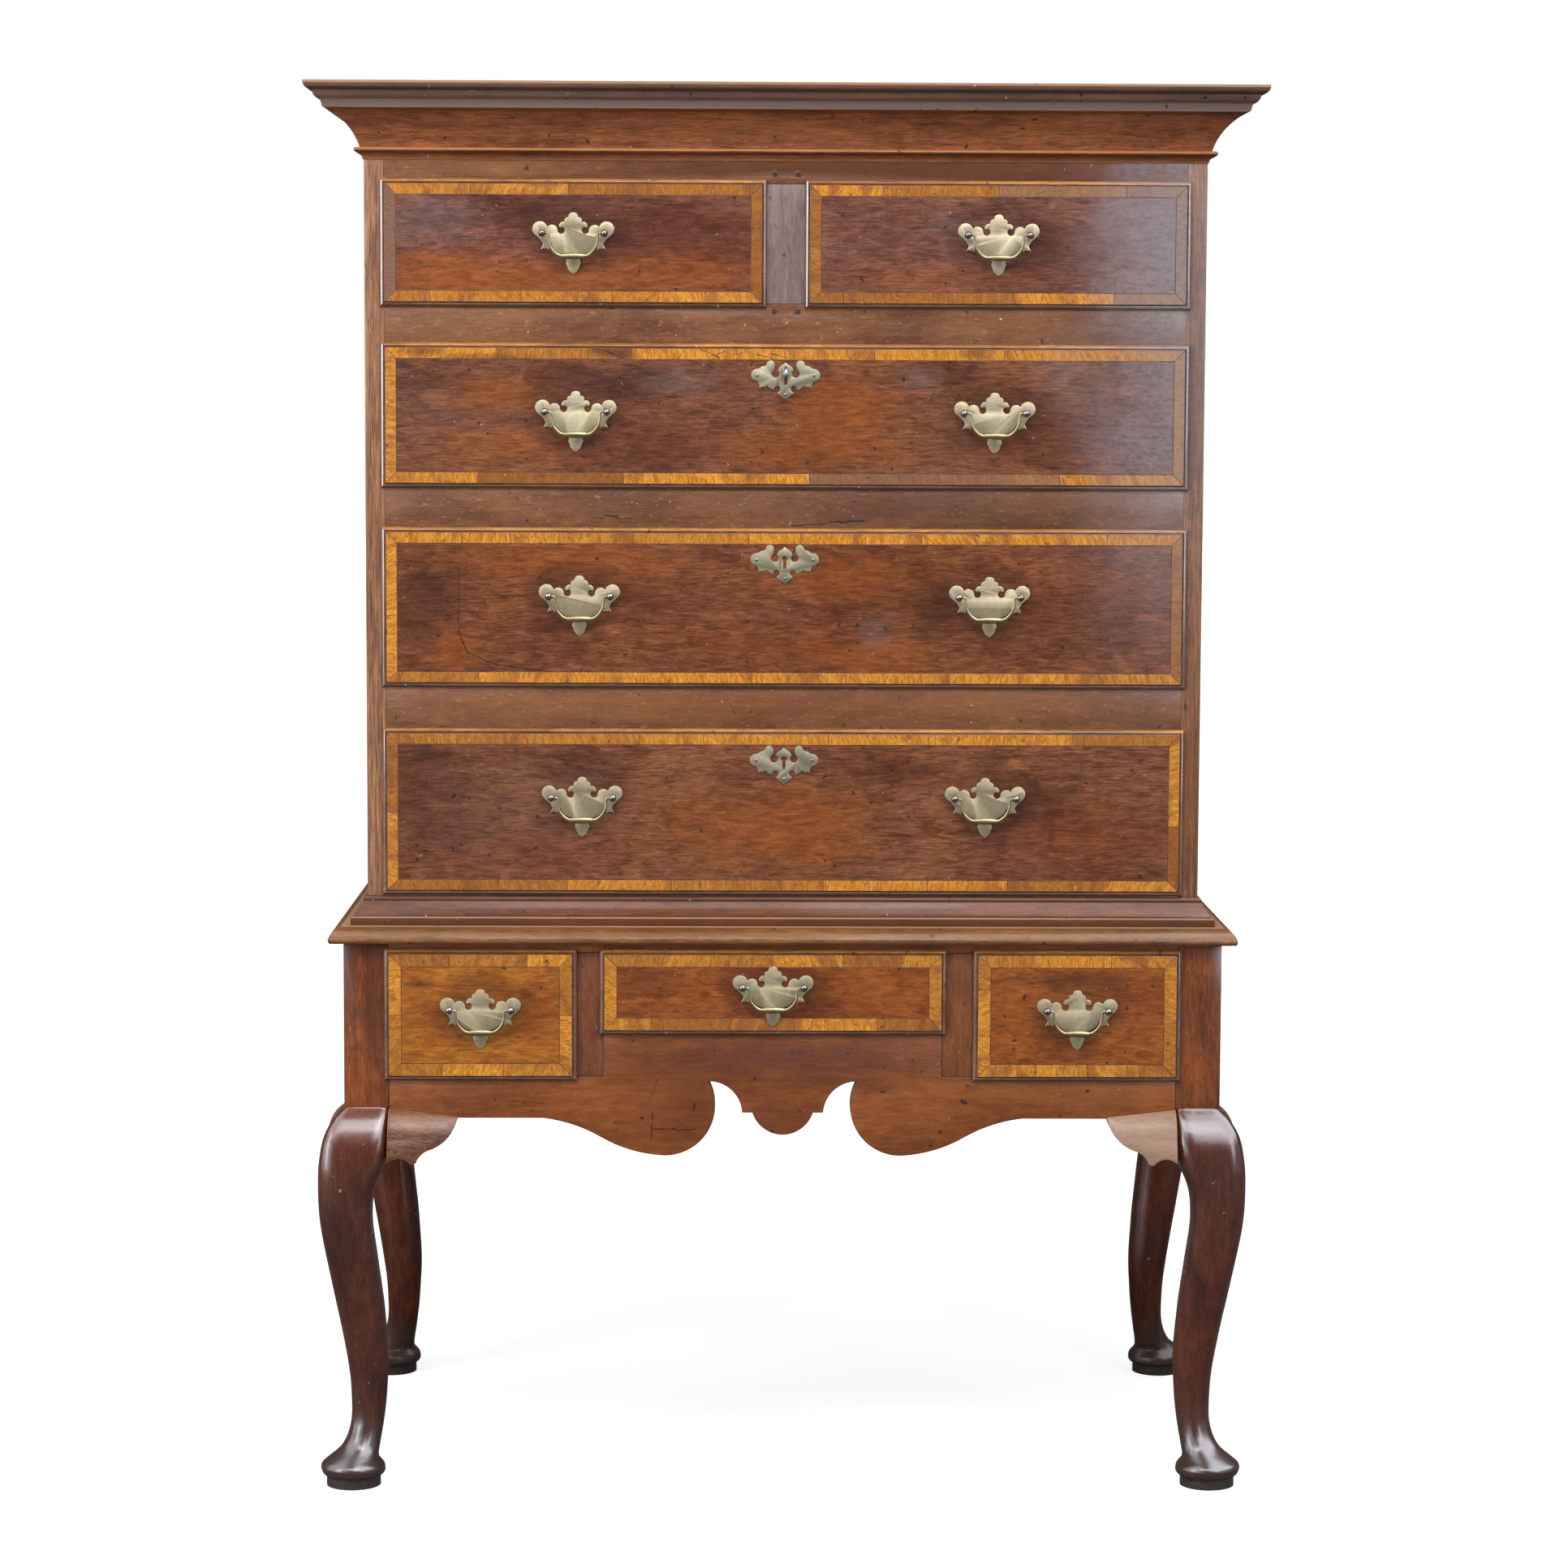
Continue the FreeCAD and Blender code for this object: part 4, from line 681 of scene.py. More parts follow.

# ------------------------------------------------------------------ cornice
# Three mitred lengths of oak planed to a fillet, ovolo, cyma, deep cove and bead. The top
# members are dull grey brown and the cove is redder; the top of the bead is painted golden as
# lit, and thin lines of painted highlight and painted shade run along the members.

CORNICE_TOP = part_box("cornice")[1].z
# the light lines, the bead's golden top among them, are painted highlights, and the dark lines painted shade
CORNICE_ROWS_WITH_PAINTED_LIGHT = ((-1.0, 27.5, 0.72, (0.104, 0.070, 0.061)), (20.6, 27.2, 0.75, (0.162, 0.130, 0.128)),
                (19.0, 20.8, 0.75, (0.300, 0.185, 0.115)), (26.8, 28.5, 0.80, (0.380, 0.190, 0.095)),
                (28.5, 31.5, 0.55, (0.060, 0.020, 0.011)), (7.0, 10.5, 0.70, (0.045, 0.025, 0.018)),
                (0.6, 2.7, 0.85, (0.400, 0.210, 0.095)), (69.8, 72.4, 0.80, (0.420, 0.165, 0.050)),
                (73.0, 76.5, 0.75, (0.080, 0.026, 0.013)), (77.5, 84.0, 0.50, (0.200, 0.070, 0.026)))
cornice_oak = moulding_finishes("Cornice oak", (27.1, 28.6), (0.140, 0.044, 0.021), (0.345, 0.115, 0.043),
                                CORNICE_TOP, CORNICE_ROWS_WITH_PAINTED_LIGHT, coat=0.15)
worked_copy("cornice", 0.4 * MM, cornice_oak, side_of_mitre)

# ------------------------------------------------------------------ drawer fronts
# Each front is an oak board with a thumb-moulded lip, a field of red brown oak, and a border of
# golden crossbanding laid in short pieces with mitred corners and dark glue lines between them.

DRAWERS = ("upper_left_drawer", "upper_right_drawer", "top_long_drawer", "middle_long_drawer",
           "bottom_long_drawer", "stand_left_drawer", "stand_centre_drawer", "stand_right_drawer")

# stains in the border, and the marks a knife left in it above the top key plate
UMBER = (0.058, 0.020, 0.012)
STAINS = ((-0.190, 1.291, 0.034, 0.008, 0.75, UMBER), (-0.405, 1.291, 0.030, 0.006, 0.6, UMBER),
          (-0.340, 1.284, 0.060, 0.005, 0.5, UMBER), (0.215, 1.291, 0.020, 0.008, 0.6, UMBER))
KNIFE_MARKS = ((-0.200, 1.294, -0.181, 1.286, 0.0011), (-0.190, 1.287, -0.176, 1.295, 0.0009),
               (-0.113, 1.294, -0.119, 1.285, 0.0008), (-0.094, 1.296, -0.072, 1.287, 0.0011),
               (-0.082, 1.288, -0.066, 1.294, 0.0008), (-0.058, 1.290, -0.046, 1.293, 0.0007),
               (-0.030, 1.291, -0.008, 1.284, 0.0011), (-0.016, 1.292, 0.006, 1.286, 0.0008))


def banding_finish():
    """Crossbanding: short golden pieces cut across the grain, flecked and patched with brown."""
    finish, tree, shader = new_finish("Crossbanding")
    veneer = place(tree, "Attribute", {}, attribute_name="veneer").outputs[0]
    piece = place(tree, "SeparateColor", {0: veneer}).outputs
    tone, seed, dull = piece[0], piece[1], piece[2]
    away = place(tree, "CombineXYZ", {2: sums(tree, "MULTIPLY", seed, 30.0)}).outputs[0]
    spot = vectors(tree, "ADD", place(tree, "UVMap", {}, uv_map="grain").outputs[0], away)
    figure = stretched(tree, spot, (60.0, 210.0, 1.0), 4.0, 0.65, 1.4)
    fine = stretched(tree, spot, (240.0, 700.0, 1.0), 3.0, 0.65)
    broad = stretched(tree, spot, (22.0, 34.0, 1.0), 3.0, 0.55, 0.6)
    colour = mixed(tree, between(tree, figure, 0.36, 0.64), (0.415, 0.137, 0.013), (0.680, 0.282, 0.036))
    colour = mixed(tree, between(tree, broad, 0.50, 0.68, 0.0, 0.75), colour, (0.260, 0.078, 0.018))
    colour = stained(tree, colour, sums(tree, "SUBTRACT", 1.0, tone), 0.95, (0.185, 0.054, 0.016))
    colour = mixed(tree, dull, colour, (0.165, 0.100, 0.080))
    colour = shaded(tree, colour, between(tree, fine, 0.3, 0.7, 0.78, 1.18))
    fleck = between(tree, stretched(tree, spot, (210.0, 480.0, 1.0), 2.0, 0.5, 1.5), 0.64, 0.71)
    colour = stained(tree, colour, fleck, 0.8, (0.055, 0.018, 0.008))
    age = place(tree, "Group", {"Vector": spot, "Seed": 4.4}, node_tree=OLD_SURFACE).outputs
    colour = stained(tree, colour, age["Specks"], 0.7, (0.75, 0.66, 0.52))
    colour = stained(tree, colour, age["Dents"], 0.7, (0.030, 0.014, 0.010))
    colour = patched(tree, colour, STAINS)
    colour, height = scratched(tree, colour, figure, KNIFE_MARKS)
    fill(tree, shader, {
        "Base Color": painted_sheen_on(tree, colour, 0.75, (0.300, 0.240, 0.215)),
        "Roughness": between(tree, broad, 0.3, 0.7, 0.32, 0.46),
        "Normal": relief(tree, height, 0.2, 0.5 * MM),
        "Specular IOR Level": 0.22, "Coat Weight": 0.25, "Coat Roughness": 0.16})
    return finish


def glue_and_shade_finish():
    """Old glue and dirt in the joints, darker in some places than in others; it also paints shade in the
    quirk and in the gap behind the lip.
    """
    finish, tree, shader = new_finish("Glue line and painted shade")
    gaps = stretched(tree, object_spot(tree, ALONG_X), (60.0, 60.0, 60.0), 3.0, 0.6)
    colour = mixed(tree, between(tree, gaps, 0.35, 0.65), (0.018, 0.009, 0.006), (0.115, 0.042, 0.017))
    fill(tree, shader, {"Base Color": colour, "Roughness": between(tree, gaps, 0.3, 0.7, 0.5, 0.7)})
    return finish


def grime_round(tree, middle, pulls, ragged):
    """Mask of the dirt round the posts of the handles, with an uneven edge."""
    parts = axes(tree, own_place(tree))
    aside = sums(tree, "ABSOLUTE", sums(tree, "SUBTRACT", parts[0], middle.x))
    spread = sums(tree, "SUBTRACT", aside, pulls.x)
    rise = sums(tree, "MULTIPLY", sums(tree, "SUBTRACT", parts[2], pulls.z), 1.25)
    near = sums(tree, "SQRT", sums(tree, "ADD", sums(tree, "MULTIPLY", spread, spread),
                                   sums(tree, "MULTIPLY", rise, rise)))
    near = sums(tree, "ADD", near, sums(tree, "MULTIPLY", ragged, 0.045))
    return between(tree, near, 0.072, 0.042)


def field_finish(name, seed, middle, pulls, dark, light, patches, strokes, streaks):
    """Field of one drawer: mottled oak with its own patches and cracks, dark round the handles.

    pulls is the place of its handles, whose distance from the middle line is the same each side, and
    streaks says how strongly the grain shows."""
    finish, tree, shader = new_finish(name)
    spot = object_spot(tree, ALONG_X)
    colour, figure, age = oak_colour(tree, spot, seed, dark, light, lines=0.26 * streaks,
                                     pores=0.55 * streaks)
    ragged = between(tree, figure.outputs["Blotches"], 0.3, 0.7, -0.30, 0.30)
    colour = patched(tree, colour, patches)
    shade = between(tree, figure.outputs["Lines"], 0.3, 0.7, 1.0 - 0.20 * streaks, 1.0 + 0.20 * streaks)
    mottle = between(tree, figure.outputs["Mottle"], 0.3, 0.7, 0.74, 1.24)
    colour = shaded(tree, colour, sums(tree, "MULTIPLY", shade, mottle))
    colour = stained(tree, colour, grime_round(tree, middle, pulls, ragged), 0.42, (0.040, 0.013, 0.010))
    colour, height = scratched(tree, colour, figure.outputs["Height"], strokes)
    polish(tree, shader, colour, figure, age, 0.37, specks=0.35, dents=0.8, bump=0.22, gloss=0.13,
           sheen_share=0.85, height=height)
    return finish


def lip_finish(name, dark, light, coat, coat_gloss):
    """Moulded edge of the fronts, with painted shade where it faces downwards."""
    finish, tree, shader = new_finish(name)
    spot = object_spot(tree, ALONG_X)
    colour, figure, age = oak_colour(tree, spot, 31.0, dark, light, lines=0.3, pores=0.4)
    facing = axes(tree, place(tree, "TexCoord").outputs["Normal"])[2]
    # faces that look downwards are painted dark as shade
    colour = mixed(tree, between(tree, facing, -0.10, -0.60, 0.0, 0.80), colour, (0.050, 0.022, 0.015))
    polish(tree, shader, colour, figure, age, 0.36, specks=0.9, dents=0.8, bump=0.12, coat=coat,
           coat_rough=0.14, coat_gloss=coat_gloss, sheen_share=0.9)
    return finish


def keyhole_shade_finish():
    """Bare oak inside a keyhole, painted near black as the shade in the hole."""
    finish, tree, shader = new_finish("Inside of a keyhole")
    noise = stretched(tree, object_spot(tree, ALONG_X), (200.0, 200.0, 200.0))
    colour = mixed(tree, noise, (0.004, 0.003, 0.002), (0.012, 0.007, 0.005))
    fill(tree, shader, {"Base Color": colour, "Roughness": 0.9})
    return finish


banding = banding_finish()
glue_and_shade = glue_and_shade_finish()
lip_oak = lip_finish("Lip oak", (0.110, 0.045, 0.026), (0.230, 0.098, 0.046), 1.0, 2.1)
lip_painted_lit = lip_finish("Lip oak painted lit", (0.270, 0.095, 0.019), (0.520, 0.215, 0.042), 0.1, 1.5)
keyhole_shade = keyhole_shade_finish()


def front_face(bm):
    """The face that looks forwards and lies furthest forwards."""
    ahead = [face for face in bm.faces if face.normal.y < -0.99]
    return min(ahead, key=lambda face: face.calc_center_median().y)


def slab(bm, low, high):
    """Rectangular block between two corners; returns its vertices."""
    size = high - low
    place_at = Matrix.Translation((low + high) / 2) @ Matrix.Diagonal((*size, 1.0))
    return bmesh.ops.create_cube(bm, size=1.0, matrix=place_at)["verts"]


def inset(bm, face, width, rise):
    """Step the face inwards by width and forwards by rise; returns the ring round it."""
    return bmesh.ops.inset_region(bm, faces=[face], thickness=width, depth=rise,
                                  use_even_offset=True, use_boundary=True)["faces"]


def cut_across(bm, faces, point, normal):
    """Divide some faces where a plane crosses them; returns all the pieces."""
    edges = {edge for face in faces for edge in face.edges}
    corners = {corner for face in faces for corner in face.verts}
    cut = bmesh.ops.bisect_plane(bm, geom=list(faces) + list(edges) + list(corners), dist=1e-7,
                                 plane_co=point, plane_no=normal)
    pieces = [item for item in cut["geom"] if isinstance(item, bmesh.types.BMFace)]
    return pieces or list(faces)


def chances(seed):
    """Endless row of numbers from 0 to 1 that is the same each time."""
    value = seed
    while True:
        value = (value * 7919 + 104729) % 65537
        yield value / 65537


# finishes of a front, by their place in its list
LIP, RIM, GLUE_AND_SHADE, BORDER, FIELD, HOLE, LIT_LIP_TOP = range(7)
# the rim rises above the lip, the thumb moulding is a quarter round, and the lip ends behind it
RISE, THUMB, LIP_DEPTH = 1.1 * MM, 4.1 * MM, 4.9 * MM
JOINT_LINE, FIELD_LINE = 0.34 * MM, 0.55 * MM
# how far the lip stands out beyond the board behind it
LIP_ASIDE, LIP_BELOW, LIP_ABOVE = 6.0 * MM, 4.8 * MM, 6.5 * MM


def painted(faces, finish):
    """Give some faces one finish."""
    for face in faces:
        face.material_index = finish


def lipped_block(bm, low, high):
    """Lip of a front with its thumb moulding, quirk and raised rim; returns the face inside them."""
    slab(bm, Vector((low.x, low.y + RISE + THUMB, low.z)), Vector((high.x, low.y + RISE + LIP_DEPTH, high.z)))
    face = front_face(bm)
    steps = 7
    for step in range(steps):
        start, stop = math.pi / 2 * step / steps, math.pi / 2 * (step + 1) / steps
        inwards, forwards = math.cos(start) - math.cos(stop), math.sin(stop) - math.sin(start)
        inset(bm, face, THUMB * inwards, THUMB * forwards)
        face = front_face(bm)
    # the quirk takes the dark glue finish as painted shade in its groove
    quirk = inset(bm, face, 0.55 * MM, -0.6 * MM)
    rim = inset(bm, face, 0.45 * MM, 1.0 * MM)
    rim += inset(bm, face, 0.55 * MM, 0.7 * MM)
    painted(bm.faces, LIP)
    painted(quirk, GLUE_AND_SHADE)
    painted(rim, RIM)
    return face


def banded_strip(bm, strip, low, high, shares, tones, luck):
    """Butt one strip of the border from short pieces of crossbanding with glue lines round them."""
    middle, size, centre = (low + high) / 2, high - low, strip.calc_center_median()
    flat = abs(centre.z - middle.z) / size.z > abs(centre.x - middle.x) / size.x
    if flat:
        side = "top" if centre.z > middle.z else "foot"
    else:
        side = "right" if centre.x > middle.x else "left"
    pieces = [strip]
    for share in shares.get(side, ()):
        slant = (next(luck) - 0.5) * 0.12
        if flat:
            point, normal = (low.x + share * size.x, 0, centre.z), (1, 0, slant)
        else:
            point, normal = (centre.x, 0, low.z + share * size.z), (slant, 0, 1)
        pieces = cut_across(bm, pieces, Vector(point), Vector(normal))
    pieces.sort(key=lambda piece: piece.calc_center_median().x + piece.calc_center_median().z)
    ranks = tones.get(side, ((0.85, 0.0),))
    for rank, piece in enumerate(pieces):
        tone, dull = ranks[min(rank, len(ranks) - 1)]
        painted(bmesh.ops.inset_individual(bm, faces=[piece], thickness=JOINT_LINE, depth=0.0,
                                           use_even_offset=True)["faces"], GLUE_AND_SHADE)
        piece.material_index = BORDER
        light = max(0.0, min(1.0, tone + 1.2 * (next(luck) - 0.5)))
        value = (light, next(luck), dull * (0.8 + 0.3 * next(luck)), 1.0)
        slant = 0.9 * (next(luck) - 0.5)
        for loop in piece.loops:
            loop[bm.loops.layers.float_color["veneer"]] = value
            x, z = loop.vert.co.x, loop.vert.co.z
            loop[bm.loops.layers.uv["grain"]].uv = (z, x + slant * z) if flat else (x, z + slant * x)


def cut_keyhole(bm, field, centre):
    """Sink a narrow upright hole into the field; centre lies where the key turns."""
    half, above, below, deep = 2.6 * MM, 3.4 * MM, 13.0 * MM, 20.0 * MM
    pieces = [field]
    for corner, normal in (((-half, 0, 0), (1, 0, 0)), ((half, 0, 0), (1, 0, 0)),
                           ((0, 0, -below), (0, 0, 1)), ((0, 0, above), (0, 0, 1))):
        pieces = cut_across(bm, pieces, centre + Vector(corner), Vector(normal))
    hole = min(pieces, key=lambda piece: (piece.calc_center_median() - centre).length)
    walls = bmesh.ops.extrude_face_region(bm, geom=[hole])["geom"]
    bottom = [item for item in walls if isinstance(item, bmesh.types.BMVert)]
    bmesh.ops.translate(bm, verts=bottom, vec=Vector((0, deep, 0)))
    heart = centre + Vector((0, deep / 2, (above - below) / 2))
    # the walls of the hole take the near black finish, painted shade
    for wall in bm.faces:
        middle = wall.calc_center_median()
        if (middle - heart).length < 10.5 * MM and middle.y > centre.y + 0.5 * MM:
            wall.material_index = HOLE


def banded_front(name, band, shares, tones, keyhole, finishes):
    """Lipped and banded front of one drawer.

    shares says where the strips are butted, tones how light and how dull the pieces of each side
    are, from the left or the foot; the last pair serves for the rest."""
    low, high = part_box(name + "_front")
    lip_back = low.y + RISE + LIP_DEPTH
    bm = bmesh.new()
    field = lipped_block(bm, low, high)
    strips = inset(bm, field, band - 0.3 * MM, 0.0)
    bm.loops.layers.float_color.new("veneer")
    bm.loops.layers.uv.new("grain")
    luck = chances(len(name) * 31 + int(high.z * 1000))
    for strip in strips:
        banded_strip(bm, strip, low, high, shares, tones, luck)
    painted(inset(bm, field, FIELD_LINE, 0.0), GLUE_AND_SHADE)
    field.material_index = FIELD
    if keyhole:
        cut_keyhole(bm, field, Vector(((low.x + high.x) / 2, low.y, keyhole)))
    body = slab(bm, Vector((low.x + LIP_ASIDE, lip_back - 0.1 * MM, low.z + LIP_BELOW)),
                Vector((high.x - LIP_ASIDE, high.y, high.z - LIP_ABOVE)))
    painted({face for corner in body for face in corner.link_faces}, LIP)
    bmesh.ops.recalc_face_normals(bm, faces=bm.faces)
    for face in bm.faces:
        if face.material_index == LIP and -0.97 < face.normal.y < -0.05:
            # the upward faces of the thumb get the lighter finish as painted light
            if face.normal.z > 0.1:
                face.material_index = LIT_LIP_TOP
            # lip faces by the carcase take the dark glue finish as painted shade in the gap behind the lip
            elif face.calc_center_median().y > lip_back - 2.6 * MM:
                face.material_index = GLUE_AND_SHADE
    piece = made_object(name + "_banded_front", bm, finishes, 25.0)
    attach(piece, name)
    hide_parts(name + "_front")


PLATE_RISE = {"upper_left_drawer": 1.4222, "upper_right_drawer": 1.4222, "top_long_drawer": 1.2240,
              "middle_long_drawer": 1.0174, "bottom_long_drawer": 0.7900, "stand_left_drawer": 0.5511,
              "stand_centre_drawer": 0.5774, "stand_right_drawer": 0.5511}
SPREAD = {"top_long_drawer": 0.235, "middle_long_drawer": 0.231, "bottom_long_drawer": 0.228}
KEY_RISE = {"top_long_drawer": 1.2667, "middle_long_drawer": 1.0603, "bottom_long_drawer": 0.8337}
GOLD, RUST = (0.250, 0.066, 0.012), (0.165, 0.036, 0.011)
DUSK, VIOLET = (0.088, 0.024, 0.012), (0.155, 0.095, 0.080)
# dark and light of each field, its patches and its cracks
FIELDS = {
    "upper_left_drawer": ((0.098, 0.028, 0.017), (0.196, 0.071, 0.042), (
        (-0.388, 1.376, 0.090, 0.034, 0.80, GOLD), (-0.275, 1.366, 0.110, 0.028, 0.75, GOLD),
        (-0.120, 1.376, 0.115, 0.032, 0.70, GOLD), (-0.288, 1.446, 0.062, 0.030, 0.65, UMBER),
        (-0.110, 1.428, 0.130, 0.040, 0.75, DUSK), (-0.400, 1.438, 0.070, 0.038, 0.55, VIOLET)), ()),
    "upper_right_drawer": ((0.116, 0.043, 0.028), (0.193, 0.078, 0.050), (
        (0.187, 1.433, 0.026, 0.016, 0.60, VIOLET), (0.165, 1.368, 0.140, 0.030, 0.38, GOLD),
        # this grey patch at the right end of the upper right drawer is a painted sheen of a window
        (0.400, 1.425, 0.075, 0.060, 0.45, (0.230, 0.170, 0.165)),
        (0.110, 1.430, 0.070, 0.040, 0.40, DUSK), (0.317, 1.414, 0.070, 0.040, 0.50, DUSK)), ()),
    "top_long_drawer": ((0.113, 0.038, 0.021), (0.195, 0.072, 0.033), (
        (-0.360, 1.225, 0.110, 0.060, 0.22, VIOLET),
        (-0.326, 1.243, 0.070, 0.026, 0.65, GOLD), (-0.403, 1.259, 0.055, 0.016, 0.60, UMBER),
        (-0.310, 1.186, 0.100, 0.030, 0.50, GOLD), (-0.166, 1.257, 0.048, 0.022, 0.70, UMBER),
        (-0.120, 1.259, 0.045, 0.020, 0.55, VIOLET), (-0.166, 1.190, 0.090, 0.034, 0.60, DUSK),
        (0.066, 1.228, 0.075, 0.045, 0.70, GOLD), (0.020, 1.182, 0.130, 0.028, 0.60, GOLD),
        (0.188, 1.268, 0.036, 0.020, 0.60, UMBER), (0.147, 1.262, 0.026, 0.014, 0.50, VIOLET),
        (0.280, 1.200, 0.100, 0.050, 0.60, DUSK)), ()),
    "middle_long_drawer": ((0.121, 0.036, 0.016), (0.206, 0.066, 0.025), (
        (-0.400, 1.014, 0.050, 0.052, 0.75, UMBER), (-0.242, 1.056, 0.130, 0.024, 0.55, GOLD),
        (-0.372, 0.956, 0.032, 0.028, 0.60, GOLD), (-0.155, 1.016, 0.055, 0.034, 0.60, DUSK),
        (-0.010, 0.960, 0.130, 0.024, 0.40, RUST), (0.070, 1.040, 0.100, 0.030, 0.55, GOLD),
        (0.102, 0.975, 0.026, 0.026, 0.50, VIOLET), (0.092, 0.950, 0.075, 0.026, 0.60, GOLD),
        (0.165, 0.998, 0.036, 0.036, 0.70, UMBER), (0.300, 0.990, 0.110, 0.050, 0.55, DUSK)),
        ((-0.365, 1.050, -0.365, 0.978, 0.0010), (-0.365, 0.978, -0.356, 0.955, 0.0018),
         (-0.356, 0.955, -0.327, 0.943, 0.0012), (-0.327, 0.943, -0.289, 0.936, 0.0015),
         (-0.289, 0.936, -0.242, 0.933, 0.0008), (-0.226, 0.931, -0.227, 0.938, 0.0012))),
    "bottom_long_drawer": ((0.123, 0.040, 0.020), (0.216, 0.079, 0.033), (
        (-0.400, 0.780, 0.090, 0.110, 0.50, DUSK), (-0.410, 0.835, 0.050, 0.024, 0.50, UMBER),
        (-0.266, 0.725, 0.100, 0.035, 0.40, RUST), (-0.300, 0.775, 0.130, 0.070, 0.20, VIOLET),
        (-0.034, 0.755, 0.130, 0.050, 0.55, GOLD),
        (0.034, 0.755, 0.080, 0.060, 0.45, GOLD), (0.131, 0.821, 0.060, 0.026, 0.60, DUSK),
        (0.286, 0.778, 0.050, 0.040, 0.70, UMBER), (0.345, 0.745, 0.110, 0.050, 0.50, RUST)),
        ((-0.092, 0.756, -0.091, 0.752, 0.0026), (0.046, 0.814, 0.050, 0.816, 0.0024),
         (-0.279, 0.733, -0.277, 0.734, 0.0022))),
    "stand_left_drawer": ((0.282, 0.080, 0.012), (0.385, 0.132, 0.018), (
        (-0.400, 0.545, 0.040, 0.030, 0.45, RUST), (-0.280, 0.545, 0.030, 0.040, 0.55, RUST),
        (-0.410, 0.580, 0.020, 0.006, 0.60, UMBER)), ()),
    "stand_centre_drawer": ((0.178, 0.044, 0.012), (0.286, 0.081, 0.017), (
        (-0.150, 0.580, 0.050, 0.020, 0.60, DUSK), (0.120, 0.570, 0.060, 0.030, 0.40, GOLD),
        (0.030, 0.585, 0.050, 0.016, 0.50, RUST)), ()),
    "stand_right_drawer": ((0.201, 0.053, 0.012), (0.312, 0.094, 0.019), (
        (0.330, 0.585, 0.100, 0.008, 0.55, DUSK), (0.390, 0.550, 0.030, 0.030, 0.50, RUST),
        (0.260, 0.545, 0.030, 0.040, 0.50, GOLD)), ()),
}
# where the pieces of the border are butted, as a share of its length from the left or the foot
JOINTS = {
    "upper_left_drawer": {"top": (0.235, 0.487, 0.955), "foot": (0.12, 0.365, 0.60, 0.72), "right": (0.62,)},
    "upper_right_drawer": {"top": (0.20, 0.50, 0.83), "foot": (0.10, 0.33, 0.54, 0.80), "left": (0.48,)},
    "top_long_drawer": {"top": (0.145, 0.31, 0.44, 0.61, 0.77), "foot": (0.12, 0.30, 0.53, 0.69, 0.75, 0.84)},
    "middle_long_drawer": {"top": (0.10, 0.16, 0.22, 0.455, 0.52, 0.67, 0.90),
                           "foot": (0.12, 0.23, 0.46, 0.67, 0.85), "left": (0.45,), "right": (0.55,)},
    "bottom_long_drawer": {"top": (0.19, 0.32, 0.555, 0.68, 0.86),
                           "foot": (0.145, 0.23, 0.36, 0.55, 0.68, 0.78, 0.9),
                           "left": (0.5,), "right": (0.42,)},
    "stand_left_drawer": {"top": (0.34, 0.74), "foot": (0.30, 0.62), "left": (0.5,), "right": (0.5,)},
    "stand_centre_drawer": {"top": (0.17, 0.32, 0.50, 0.70, 0.87), "foot": (0.15, 0.38, 0.56, 0.80)},
    "stand_right_drawer": {"top": (0.28, 0.66), "foot": (0.30, 0.55, 0.80), "left": (0.35, 0.7),
                           "right": (0.45,)},
}
# how light and how dull the pieces are, where they differ from the rest; the dull grey pieces at the right
# end of the upper right drawer are a painted sheen
TONES = {
    "upper_left_drawer": {"left": ((0.45, 0.85),), "top": ((0.75, 0.0),), "foot": ((0.70, 0.0),),
                          "right": ((0.72, 0.0),)},
    "upper_right_drawer": {"left": ((0.55, 0.05),), "right": ((0.45, 0.75),),
                           "top": ((0.80, 0.0), (0.72, 0.05), (0.45, 0.55), (0.40, 0.80)),
                           "foot": ((0.70, 0.0), (0.66, 0.0), (0.66, 0.0), (0.75, 0.0), (0.60, 0.80))},
    "top_long_drawer": {"left": ((0.60, 0.15),), "right": ((0.50, 0.35),),
                        "foot": ((0.85, 0.0), (0.80, 0.0), (0.75, 0.0), (0.30, 0.55), (0.40, 0.60),
                                 (0.45, 0.50), (0.70, 0.0))},
    "middle_long_drawer": {"left": ((0.70, 0.0),), "right": ((0.65, 0.1),)},
    "bottom_long_drawer": {"left": ((0.62, 0.05),), "right": ((0.75, 0.0),), "top": ((1.0, 0.0),)},
}
for order, drawer in enumerate(DRAWERS):
    at = sum(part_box(drawer + "_front"), Vector()) / 2
    dark, light, patches, strokes = FIELDS[drawer]
    pulls = Vector((SPREAD.get(drawer, 0.0), 0, PLATE_RISE[drawer]))
    in_stand = drawer.startswith("stand")
    field_oak = field_finish("Field of " + drawer.replace("_", " "), 40.0 + 3.7 * order, at, pulls,
                             dark, light, patches, strokes, 0.6 if in_stand else 1.0)
    banded_front(drawer, (14.5 if in_stand else 12.5) * MM, JOINTS[drawer], TONES.get(drawer, {}),
                 KEY_RISE.get(drawer, 0.0),
                 [lip_oak, lip_oak, glue_and_shade, banding, field_oak, keyhole_shade, lip_painted_lit])
    frame["nodes"][drawer + "_box"].data.materials[0] = lining

# ------------------------------------------------------------------ handles
# Each handle is a pierced plate of cast brass held by two ball-headed posts, and a bail sprung
# into sockets in the balls. The brass is dull and clouded, and rubbed brighter at its arrises.


